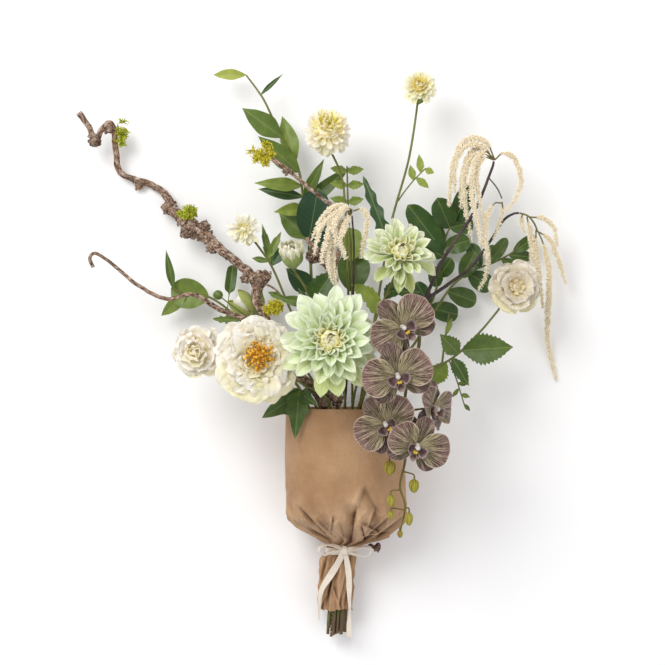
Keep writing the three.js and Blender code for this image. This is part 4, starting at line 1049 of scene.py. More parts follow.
@dataclass(frozen=True)
class LeafFinish:
    """A leaf: pale midrib and side veins, darker or lighter by its own tone, and a paler underside."""

    name: str = "leaf_green"
    tones: tuple[str, ...] = ("#2d4c36", "#324f1c", "#586d2a", "#82943a", "#aaae4e")
    vein: str = "#8c9856"
    under: str = "#8d9a64"
    tip: str = "#8f9a4a"

    def make(self) -> bpy.types.Material:
        """The material.

        Returns:
            The material.
        """
        p = Paint(self.name)
        _, run, side = p.layer("blade")
        x, y, wide = p.layer("flat")
        tone = p.layer("mood")[0]
        cloud = p.noise(p.place(), 90.0, 3.0)
        stops = zip(np.linspace(0, 1, len(self.tones)), self.tones)
        body = p.ramp(tone + (cloud * 0.3 - 0.15), *stops)
        out = abs(x)
        rib = 1.0 - p.step(out, 0.25, 1.1)
        course = (y - out * 0.8) / (wide * 0.28 + 1.6)
        veins = 1.0 - p.step(abs(p.math("FRACT", course) - 0.5), 0.02, 0.12)
        lines = p.math("MAXIMUM", rib, veins * 0.17)
        colour = p.mix(lines * 0.45, body, self.vein)
        under = p.step(side * -1.0, -0.2, 0.2)
        colour = p.mix(under * 0.45, colour, self.under)
        colour = p.mix(p.step(run, 0.9, 1.0) * 0.2, colour, self.tip)
        return p.done(colour, under * 0.2 + 0.42, cloud * 0.4 - lines * 0.6, 0.0006, 0.6, Sheen_Weight=0.08,
                      Specular_IOR_Level=0.35)


@dataclass(frozen=True)
class StemFinish:
    """A stem: fine ridges along it, darker or lighter patches and a pale cut end.

    Attributes:
        name: the material's name.
        dark: its darker colour.
        light: its lighter colour.
        blush: patches of another colour.
        cut: the colour of its cut end.
        old: the colour of patches near that end.
    """

    name: str
    dark: str
    light: str
    blush: str
    cut: str
    old: str = "#5c4a36"

    def make(self) -> bpy.types.Material:
        """The material.

        Returns:
            The material.
        """
        p = Paint(self.name)
        across, _, side = p.layer("blade")
        fibre = p.noise(p.vector(across * 9.0, p.layer("flat")[2] * 0.05), 1.0, 3.0)
        patch = p.noise(p.place(), 30.0, 2.0)
        colour = p.mix(p.step(fibre, 0.35, 0.65), self.dark, self.light)
        colour = p.mix(p.step(patch, 0.5, 0.7) * 0.6, colour, self.blush)
        low = p.split(p.place())[1] * -1.0
        colour = p.mix(p.step(low, 0.1, 0.2) * p.step(patch, 0.3, 0.6), colour, self.old)
        colour = p.mix(p.step(side, 1.5, 1.9), colour, self.cut)
        return p.done(colour, 0.5, fibre, 0.0004, 0.5, Specular_IOR_Level=0.35)


@dataclass(frozen=True)
class BarkFinish:
    """Weathered bark: streaked mauve and grey-brown, dark in its cracks and pale on its ridges."""

    name: str = "bark"
    crack: str = "#332017"
    dark: str = "#644a38"
    body: str = "#a88c77"
    pale: str = "#ead8c8"
    stain: str = "#8f6e4c"

    def make(self) -> bpy.types.Material:
        """The material.

        Returns:
            The material.
        """
        p = Paint(self.name)
        x, y, run = p.layer("flat")
        grain = p.noise(p.vector(x * 0.8, y * 0.8, run * 0.2), 1.0, 5.0, 0.8)
        mixed = grain * 0.6 + p.noise(p.place(), 160.0, 4.0, 0.6) * 0.4
        # The ramp follows the relief: the cracks are dark and the ridges pale, partly the bark's own colour
        # and partly painted shade and painted highlight.
        colour = p.ramp(mixed, (0.36, self.crack), (0.45, self.dark), (0.52, self.body), (0.65, self.pale))
        hollow = p.step(p.noise(p.place(), 75.0, 3.0, 0.5), 0.36, 0.6)
        colour = p.shade(colour, hollow * 0.36 + 0.7)
        stained = p.step(p.noise(p.place(), 22.0, 2.0), 0.52, 0.66)
        return p.done(p.mix(stained * 0.4, colour, self.stain), 0.85, mixed, 0.003, 1.0,
                      Specular_IOR_Level=0.2)


@dataclass(frozen=True)
class PaperFinish:
    """Brown kraft paper: fine fibres and specks, paler wear where it is creased, and painted shade in its
    folds.
    """

    name: str = "kraft_paper"
    body: str = "#b8936f"
    dark: str = "#a17c59"
    worn: str = "#cdab86"
    fibre: str = "#8a6544"
    speck: str = "#7c5b3f"
    shaded: str = "#5e412b"

    def make(self) -> bpy.types.Material:
        """The material.

        Returns:
            The material.
        """
        p = Paint(self.name)
        place = p.place()
        stretched = p.wire("ShaderNodeVectorMath", operation="MULTIPLY",
                           Vector=[place, (900.0, 330.0, 900.0)])
        fibre = p.noise(stretched, 1.0, 3.0)
        colour = p.mix(p.step(p.noise(place, 14.0, 3.0), 0.35, 0.7), self.body, self.dark)
        colour = p.mix(p.step(fibre, 0.35, 0.7) * 0.28, colour, self.fibre)
        colour = p.mix(p.step(p.noise(place, 1500.0, 1.0), 0.66, 0.74) * 0.5, colour, self.speck)
        deep, crease, gathered = p.layer("mood")
        facets = p.wire("ShaderNodeTexVoronoi", Vector=place, Scale=70.0)
        fine = p.wire("ShaderNodeTexVoronoi", Vector=place, Scale=190.0)
        relief = (fine * 0.4 + facets) * gathered * 24.0 + fibre
        # Painted shade: deep in the folds and in the valleys of the gathers, the paper is darkened.
        colour = p.mix(crease * 0.6, p.mix(deep * 0.85, colour, self.shaded), self.worn)
        return p.done(colour, 0.82, relief, 0.00025, 0.6, Sheen_Weight=0.1, Specular_IOR_Level=0.25)


@dataclass(frozen=True)
class TapeFinish:
    """Cream cotton tape: a plain weave, soiled in patches."""

    name: str = "cotton_tape"
    body: str = "#efe4d3"
    dark: str = "#cbb9a1"
    soiled: str = "#d9c8b4"

    def make(self) -> bpy.types.Material:
        """The material.

        Returns:
            The material.
        """
        p = Paint(self.name)
        x, y, _ = p.layer("flat")
        weave = p.math("SINE", x * 8.0) * p.math("SINE", y * 7.0) * 0.5 + 0.5
        colour = p.mix((1.0 - weave) * 0.35, self.body, self.dark)
        colour = p.mix(p.step(p.noise(p.place(), 120.0, 3.0), 0.45, 0.7) * 0.35, colour, self.soiled)
        return p.done(colour, 0.85, weave, 0.0004, 0.5, Sheen_Weight=0.3)


@dataclass(frozen=True)
class TuftFinish:
    """Small repeated tufts, such as lichen or florets: each has its own shade, paler at its tip.

    Attributes:
        name: the material's name.
        deep: its colour at its roots.
        body: its colour.
        tip: the colour of its tips.
        other: the colour of some tufts.
    """

    name: str
    deep: str
    body: str
    tip: str
    other: str

    def make(self) -> bpy.types.Material:
        """The material.

        Returns:
            The material.
        """
        p = Paint(self.name)
        run = p.layer("blade")[1]
        tone = p.layer("mood")[0]
        colour = p.ramp(run, (0.0, self.deep), (0.5, self.body), (1.0, self.tip))
        colour = p.mix(p.step(tone, 0.5, 1.0) * 0.5, colour, self.other)
        grain = p.noise(p.place(), 700.0, 3.0)
        return p.done(colour, 0.8, grain, 0.0003, 0.5, Sheen_Weight=0.15, Specular_IOR_Level=0.2)


FINISHES = (
    PetalFinish("green_petal", "#a5bd6a", "#dbeab2", "#f3f8de", "#f0e69c", "#a6bf7c", 0.7, 0.45, "#c9d67c"),
    PetalFinish("olive_petal", "#7c9440", "#cdd99c", "#f8f8de", "#efe99c", "#7f9a4c", 1.0, 0.45, "#b2c068"),
    PetalFinish("dahlia_heart", "#ead058", "#faf0a0", "#fdf8d0", "#f8e470", "#dcc85c", 0.4),
    PetalFinish("cream_petal", "#f2cc50", "#f6eac4", "#fdf6ea", "#f0da7c", "#ecd06c", 0.8),
    PetalFinish("milk_petal", "#f0d470", "#fbf0d6", "#fff9f0", "#f6e07c", "#f2da84", 0.7),
    PetalFinish("sand_petal", "#d8bc74", "#e2d2b0", "#e8dece", "#e2c267", "#d2b77a", 0.5),
    PetalFinish("mum_petal", "#eed65a", "#faf4bc", "#fffdf0", "#f0d650", "#e6d476", 0.4),
    PetalFinish("daisy_petal", "#e9dfa0", "#f9f2da", "#fffcf2", "#efe184", "#e6dca4", 0.4),
    PetalFinish("bud_petal", "#8f935a", "#d0cda0", "#f9f3d6", "#f0e8ae", "#9ea066", 0.7, 0.5, "#b4b880"),
    PetalFinish("pink_petal", "#ffe975", "#fff6dc", "#fffaf4", "#ffef5c", "#f6e4b4", 0.3),
    OrchidFinish(),
    PetalFinish("orchid_lip", "#76605a", "#4f393a", "#a08c88", "#43302f", "#2a1b1c", 0.7),
    PetalFinish("column", "#a39a90", "#c6beb4", "#d8d2c8", "#c6beb4", "#9a8e8a", 0.3),
    PetalFinish("callus_yellow", "#c98a12", "#d9a72a", "#e6c14a", "#d9a72a", "#a8661a", 0.4),
    LeafFinish(),
    StemFinish("flower_stem", "#4d5423", "#7e8142", "#6d5a38", "#b9ae7c"),
    # Painted shade: the dark brown of the crumpled paper knobs at the wrap's gathers.
    StemFinish("knob", "#3c2620", "#7c5d4e", "#5a3f33", "#7c5d4e"),
    StemFinish("dark_stem", "#2b1f22", "#4b3b3c", "#5c4a3a", "#93806c"),
    StemFinish("orchid_stem", "#54491c", "#7d7230", "#5e3f24", "#a8a066"),
    StemFinish("orchid_bud", "#6f6514", "#aba238", "#7c5422", "#8f8a30"),
    BarkFinish(),
    PaperFinish(),
    TapeFinish(),
    TuftFinish("lichen", "#4a4a08", "#9ba51a", "#cbcc40", "#86a01a"),
    TuftFinish("yellow_lichen", "#655806", "#bdb016", "#e0d640", "#a39a14"),
    TuftFinish("amaranth_floret", "#dcc896", "#f8eed6", "#fffaee", "#efe0bc"),
    TuftFinish("stamen", "#5e360c", "#d89a1c", "#edb83a", "#b8741a"),
)


# ---- Stems and what grows on them --------------------------------------------------------------------
def bundled(across: float, up: float, shorter: float = 0.0) -> list[Array]:
    """Where a stem runs from its cut end to the rim of the wrap.

    Args:
        across: its place in the tied bundle, across.
        up: and up.
        shorter: the share of its tail that is cut off.

    Returns:
        Its points at the cut end, the tie, halfway up the wrap and the rim.
    """
    stations = [spot(middle) for middle in (CUT_END, TIE, INSIDE, RIM)]
    for point, opened in zip(stations, (0, 0, 0.5, 1)):
        point[0] += across * PITCH * (1 + (SPREAD_X - 1) * opened)
        point[2] += up * PITCH * (1 + (SPREAD_Z - 1) * opened)
    stations[0] = stations[0] + (stations[1] - stations[0]) * shorter
    return stations


@dataclass(frozen=True)
class Leaf:
    """A leaf of a stem.

    Attributes:
        base: the pixel near which it leaves the stem.
        tip: the spot that its tip reaches.
        width: at its widest.
        form: its outline.
        tone: from 0, blue-green, to 1, yellow-green.
        bow: how far the middle of its length is raised.
        cup: how far its edges stand up.
        teeth: how many teeth its edge has.
        curl: how far its tip turns up, or with a minus down.
        wave: how far its edge waves.
    """

    base: tuple[float, float]
    tip: Spot
    width: float
    form: Form = Form.LEAF
    tone: float = 0.4
    bow: float = 0.06
    cup: float = 0.3
    teeth: int = 0
    curl: float = 0.0
    wave: float = 0.8

    def add_to(self, skin: Skin, line: Array, slot: int, seed: float) -> None:
        """Adds the leaf, rooted in the nearest point of a line.

        Args:
            skin: where it goes.
            line: the stem's points.
            slot: its finish.
            seed: which waves it has.
        """
        seen = spot((*self.base, self.tip[2]))
        root = line[np.argmin(np.hypot(*(line[:, :2] - seen[:2]).T))]
        reach = spot(self.tip) - root
        fine = 2 + int(self.teeth > 0 or self.form in (Form.LOBED, Form.IVY))
        shape = Blade(self.form, cup=self.cup, bow=self.bow, curl=self.curl, wave=self.wave, ruffle=0.5,
                      rib=0.5, tooth=0.13 if self.teeth else 0.0, teeth=self.teeth, thick=0.5,
                      rows=13 * fine, columns=5 + 2 * fine)
        length = float(np.linalg.norm(reach))
        shape.add_to(skin, root, blade_axes(reach, UP), length, self.width, (self.tone, 0, 0), seed, slot)


@dataclass(frozen=True)
class Twig:
    """A thin side stem: its line, its leaves, its radius and the radius of a round bud at its end."""

    route: tuple[Spot, ...]
    leaves: tuple[Leaf, ...] = ()
    radius: float = 1.1
    bud: float = 0.0


@dataclass(frozen=True)
class Spray:
    """A leafy stem of its own.

    Attributes:
        name: the node it stands for.
        slot: its place in the bundle.
        via: where it runs past the rim.
        leaves: its leaves.
        shorter: the share of its tail that is cut off.
        radii: its radius along it.
        paint: its material slot.
    """

    name: str
    slot: tuple[float, float]
    via: tuple[Spot, ...]
    leaves: tuple[Leaf, ...]
    shorter: float
    radii: tuple[float, ...] = (2.3, 2.3, 2.3, 2.1, 1.8, 1.5, 1.2)
    paint: str = "leaf"

    def make(self, finishes: Paints) -> None:
        """Makes the stem with its leaves.

        Args:
            finishes: every finish, by its name.
        """
        skin = Skin()
        line = smooth([*bundled(*self.slot, self.shorter), *map(spot, self.via)], 10)
        middle, radii = evenly(line, 4.0, spread(self.radii, len(line)))
        add_tube(skin, middle, radii, 9, rough=0.06, grain=9)
        for i, leaf in enumerate(self.leaves):
            leaf.add_to(skin, middle, 1, i + len(self.name))
        skin.piece(self.name + "_foliage", [finishes["flower_stem"], finishes["leaf_green"]], self.name,
                   self.paint)


def add_ball(skin: Skin, centre: Array, axis: Array, length: float, radius: float, slot: int = 0,
             tone: float = 0.5, sides: int = 14, rough: float = 0.0, grain: float = 6.0, seed: float = 0.0,
             lean: float = 0.0) -> None:
    """Adds a ball, or an egg when its length isn't twice its radius, fuller towards its foot by lean.

    Args:
        skin: where it goes.
        centre: its middle.
        axis: the way that it points.
        length: from end to end.
        radius: at its widest.
        slot: its finish.
        tone: its own tone.
        sides: how many round it.
        rough: how uneven its surface is, as a share of the radius.
        grain: how far apart the bumps are.
        seed: which bumps.
        lean: how much fuller its foot is than its tip.
    """
    t = np.linspace(0, 1, 11)
    line = centre + unit(axis) * (length * (t - 0.5))[:, None]
    profile = np.sqrt(np.maximum(1 - (2 * t - 1) ** 2, 0.002)) * (1 - lean * (t - 0.5))
    add_tube(skin, line, profile * radius, sides, slot, tone, rough, grain, seed)


# ---- Blooms ------------------------------------------------------------------------------------------
SWING, TILT, TWIST = 0.12, 0.16, 0.2  # how far a petal is off its place at most, in radians
LONG, WIDE = (0.88, 1.08), (0.9, 1.12)  # how much its length and its width vary


@dataclass(frozen=True)
class Petals:
    """Rings of petals on a round core, from the back of a bloom to its heart.

    Attributes:
        counts: the petals in each ring.
        core: the radius of the core.
        lifts: how steeply the first and last ring stand, in degrees.
        reach: how far from the middle the first and last ring reach.
        width: the width of the first and last ring's petals.
        outer: the shape of the first ring's petals.
        inner: and of the last ring's.
        flat: the core's height as a share of its radius.
        ease: how the reach shrinks between the rings.
        rise: how far the core is raised.
        loose: how unevenly they are set.
        inward: how far in the first and last ring count as, for their colour.
        alike: whether its petals are copies of one. If not, every petal has its own folds.
        slot: their finish.
    """

    counts: tuple[int, ...]
    core: float
    lifts: tuple[float, float]
    reach: tuple[float, float]
    width: tuple[float, float]
    outer: Blade
    inner: Blade
    flat: float = 1.0
    ease: float = 1.0
    rise: float = 0.0
    loose: float = 1.0
    inward: tuple[float, float] = (0.0, 1.0)
    alike: bool = False
    slot: int = 0

    def add_to(self, shop: Workshop, skin: Skin, rotation: Array, at: Array, seed: int) -> None:
        """Adds the petals to a bloom at a place.

        Args:
            shop: the node trees, and the small pieces that they copy.
            skin: where it goes.
            rotation: turns it to the way that the bloom faces.
            at: the bloom's middle.
            seed: which petals are drawn.
        """
        draw = np.random.default_rng(seed)
        for i, count in enumerate(self.counts):
            share = i / max(len(self.counts) - 1, 1)

            def between(ends: tuple[float, float], ease: float = 1.0) -> float:
                """A value of this ring, from those of the first and the last one."""
                return ends[0] + (ends[1] - ends[0]) * share**ease

            lift = math.radians(between(self.lifts))
            width, inward = between(self.width), between(self.inward)
            length = between(self.reach, self.ease) - self.core
            radius = max(self.core * math.cos(lift), 1.2)
            height = self.core * self.flat * math.sin(lift) + self.rise
            shape = self.outer.towards(self.inner, share)
            turn = math.pi * i / count
            if self.alike:
                pattern = Skin()
                axes = (vec(0, -1, 0), vec(1, 0, 0), UP)
                shape.add_to(pattern, np.zeros(3), axes, length, width, seed=seed + i)
                ring = shop.ring.run(None, {
                    "Piece": shop.pattern(pattern), "Count": count, "Radius": radius, "Height": height,
                    "Lift": lift, "Turn": turn, "Loose": self.loose, "Inward": inward, "Seed": seed + i,
                })
                skin.take(ring, rotation, at, self.slot)
                continue
            for k in range(count):
                angle = turn + 2 * math.pi * k / count + self.loose * draw.uniform(-SWING, SWING)
                tilt = lift + self.loose * draw.uniform(-TILT, TILT)
                spin = Matrix.Rotation(angle, 3, "Z") @ Matrix.Rotation(-tilt, 3, "Y")
                spin = spin @ Matrix.Rotation(draw.uniform(-TWIST, TWIST), 3, "X")
                axes = rotation @ np.array(spin) @ np.array([[0.0, 1, 0], [-1, 0, 0], [0, 0, 1]])
                foot = rotation @ vec(math.cos(angle) * radius, math.sin(angle) * radius, height) + at
                long = length * draw.uniform(*LONG)
                low = max(0.0, -axes[1, 1]) * (1 - share) ** 2
                wide = width * draw.uniform(*WIDE)
                mood = (draw.uniform(0, 1), inward, low)
                shape.add_to(skin, foot, tuple(axes.T), long, wide, mood, seed + i * 10 + k, self.slot)


@dataclass(frozen=True)
class Sepals:
    """The whorl of sepals under a bloom: their number, length, width and lift, the neck and their tone."""

    count: int
    length: float
    width: float
    lift: float
    neck: float
    tone: float = 0.35


@dataclass(frozen=True)
class Bloom:
    """A bloom on its stem.

    Attributes:
        name: the node of the bloom; its stem's ends in _stem.
        at: where its middle is.
        face: the way it faces.
        depth: how far below its middle its foot is.
        slot: its stem's place in the bundle.
        via: where its stem runs past the rim.
        petals: its rings of petals.
        sepals: the whorl under them.
        shorter: the share of its stem's tail that is cut off.
        finishes: the finishes of its petals.
        paint: its material slot.
        leaves: leaves on its stem.
        twigs: side stems.
        core: the radius and half height of the solid heart under the petals.
    """

    name: str
    at: Spot
    face: Spot
    depth: float
    slot: tuple[float, float]
    via: tuple[Spot, ...]
    petals: tuple[Petals, ...]
    sepals: Sepals
    shorter: float
    core: tuple[float, float]
    finishes: tuple[str, ...] = ("cream_petal",)
    paint: str = "cream_petal"
    leaves: tuple[Leaf, ...] = ()
    twigs: tuple[Twig, ...] = ()

    def make(self, shop: Workshop, finishes: Paints) -> None:
        """Makes the bloom and its stem.

        Args:
            shop: the node trees, and the small pieces that they copy.
            finishes: every finish, by its name.
        """
        look, centre = unit(np.array(self.face)), spot(self.at)
        rotation = turned(look)
        skin = Skin()
        seed = sum(map(ord, self.name)) % 97
        for i, petals in enumerate(self.petals):
            petals.add_to(shop, skin, rotation, centre, seed + 20 * i)
        wide, tall = self.core
        add_ball(skin, centre + look * (tall * 0.35), look, tall * 1.7, wide * 0.92, len(self.finishes) - 1,
                 rough=0.12, grain=4)
        skin.piece(self.name + "_bloom", [finishes[f] for f in self.finishes], self.name, self.paint)
        self.make_stem(finishes, look, centre, rotation)

    def make_stem(self, finishes: Paints, look: Array, centre: Array, rotation: Array) -> None:
        """Makes the stem with its sepals, leaves and side stems.

        Args:
            finishes: every finish, by its name.
            look: the way that the bloom faces.
            centre: the bloom's middle.
            rotation: turns the sepals to that way.
        """
        skin = Skin()
        sepals = self.sepals
        top = centre - look * (self.depth + GAP)
        route = [*bundled(*self.slot, self.shorter), *map(spot, self.via), top - look * sepals.neck, top]
        line, = evenly(smooth(route, 10), 3.5)
        add_tube(skin, line, STEM_R * np.linspace(0.85, 0.6, len(line)), 10, rough=0.05, grain=8)
        cup = np.linspace(0, 1, 8)
        wide = max(self.core[0] * 0.72, STEM_R * 1.6)
        add_tube(skin, top - look * 5 + look * cup[:, None] * (self.depth * 0.75 + 5),
                 STEM_R + (wide - STEM_R) * cup**0.6, 14, slot=1)
        lift = math.radians(sepals.lift)
        closed = max(0.0, math.sin(lift))  # steep sepals cup the bud
        shape = Blade(Form.SEPAL, cup=0.35 + 0.2 * closed, bow=0.1 - 0.3 * closed, curl=0.2 * closed, rib=0.3,
                      thick=0.6, rows=13, columns=9)
        for k in range(sepals.count):
            out, forward, face = raised(2 * math.pi * k / sepals.count, lift)
            foot = top - look * 0.6 + rotation @ out * STEM_R * 1.1
            shape.add_to(skin, foot, blade_axes(rotation @ forward, rotation @ face), sepals.length,
                         sepals.width, (sepals.tone + 0.1 * (k % 3), 0, 0), k, 1)
        for i, leaf in enumerate(self.leaves):
            leaf.add_to(skin, line, 1, i + self.at[0])
        for twig in self.twigs:
            thin = course(twig.route, 8, 2.5)
            add_tube(skin, thin, np.linspace(twig.radius, twig.radius * 0.75, len(thin)), 8)
            if twig.bud:
                add_ball(skin, thin[-1], thin[-1] - thin[-2], twig.bud * 2.1, twig.bud, slot=1, tone=0.45,
                         sides=18, rough=0.06, grain=7)
            for i, leaf in enumerate(twig.leaves):
                leaf.add_to(skin, thin, 1, i)
        skin.piece(self.name + "_stalk", [finishes["flower_stem"], finishes["leaf_green"]],
                   self.name + "_stem", "flower_stem")


DAHLIA = Blade(Form.DAHLIA, cup=0.62, bow=0.05, curl=-0.04, wave=1.2, waves=1.4, ruffle=1.3, crumple=0.5,
               rib=1.5, fold=0.7, thick=0.8, rows=15, columns=13)
DAHLIA_IN = replace(DAHLIA, cup=0.9, bow=-0.06, curl=0.1, ruffle=0.9)
LOOSE_DAHLIA = replace(DAHLIA, cup=0.85, fold=1.2, ruffle=2.0, wave=1.8, curl=0.04)
CLOSED = replace(DAHLIA, cup=0.75, bow=-0.28, curl=0.4, rib=0.3, wave=0.4, ruffle=0.3, crumple=0.2, fold=0.3)
RUFFLED = Blade(Form.BROAD, cup=0.06, bow=0.12, curl=-0.12, wave=3.8, waves=2.6, ruffle=6.0, crumple=1.5,
                rib=0.0, fold=1.1, folds=5.0, thick=0.6, rows=28, columns=27)
FRILL = replace(RUFFLED, cup=0.25, bow=0.02, curl=-0.04, wave=2.6, ruffle=3.6, crumple=1.2, fold=0.8,
                folds=3.0)
SMALL_FRILL = replace(FRILL, rows=18, columns=17)
SMOOTH_FRILL = replace(SMALL_FRILL, crumple=0.5)
PLEATED = replace(SMALL_FRILL, cup=0.12, fold=1.3, folds=11.0, ruffle=1.2, crumple=0.4)
PLEATED_IN = replace(PLEATED, cup=0.2, fold=1.2, folds=9.0, ruffle=1.4)
SOFT = Blade(Form.BROAD, cup=0.4, bow=-0.16, curl=0.14, wave=1.0, ruffle=1.6, rib=0.3, fold=0.45, thick=0.6,
             rows=15, columns=13)
RAY = Blade(Form.RAY, cup=0.3, bow=0.05, curl=-0.04, wave=0.5, ruffle=1.0, crumple=0.3, rib=0.4, fold=0.3,
            thick=0.5, rows=12, columns=7)
RAY_IN = replace(RAY, cup=0.6, bow=-0.12, curl=0.1)


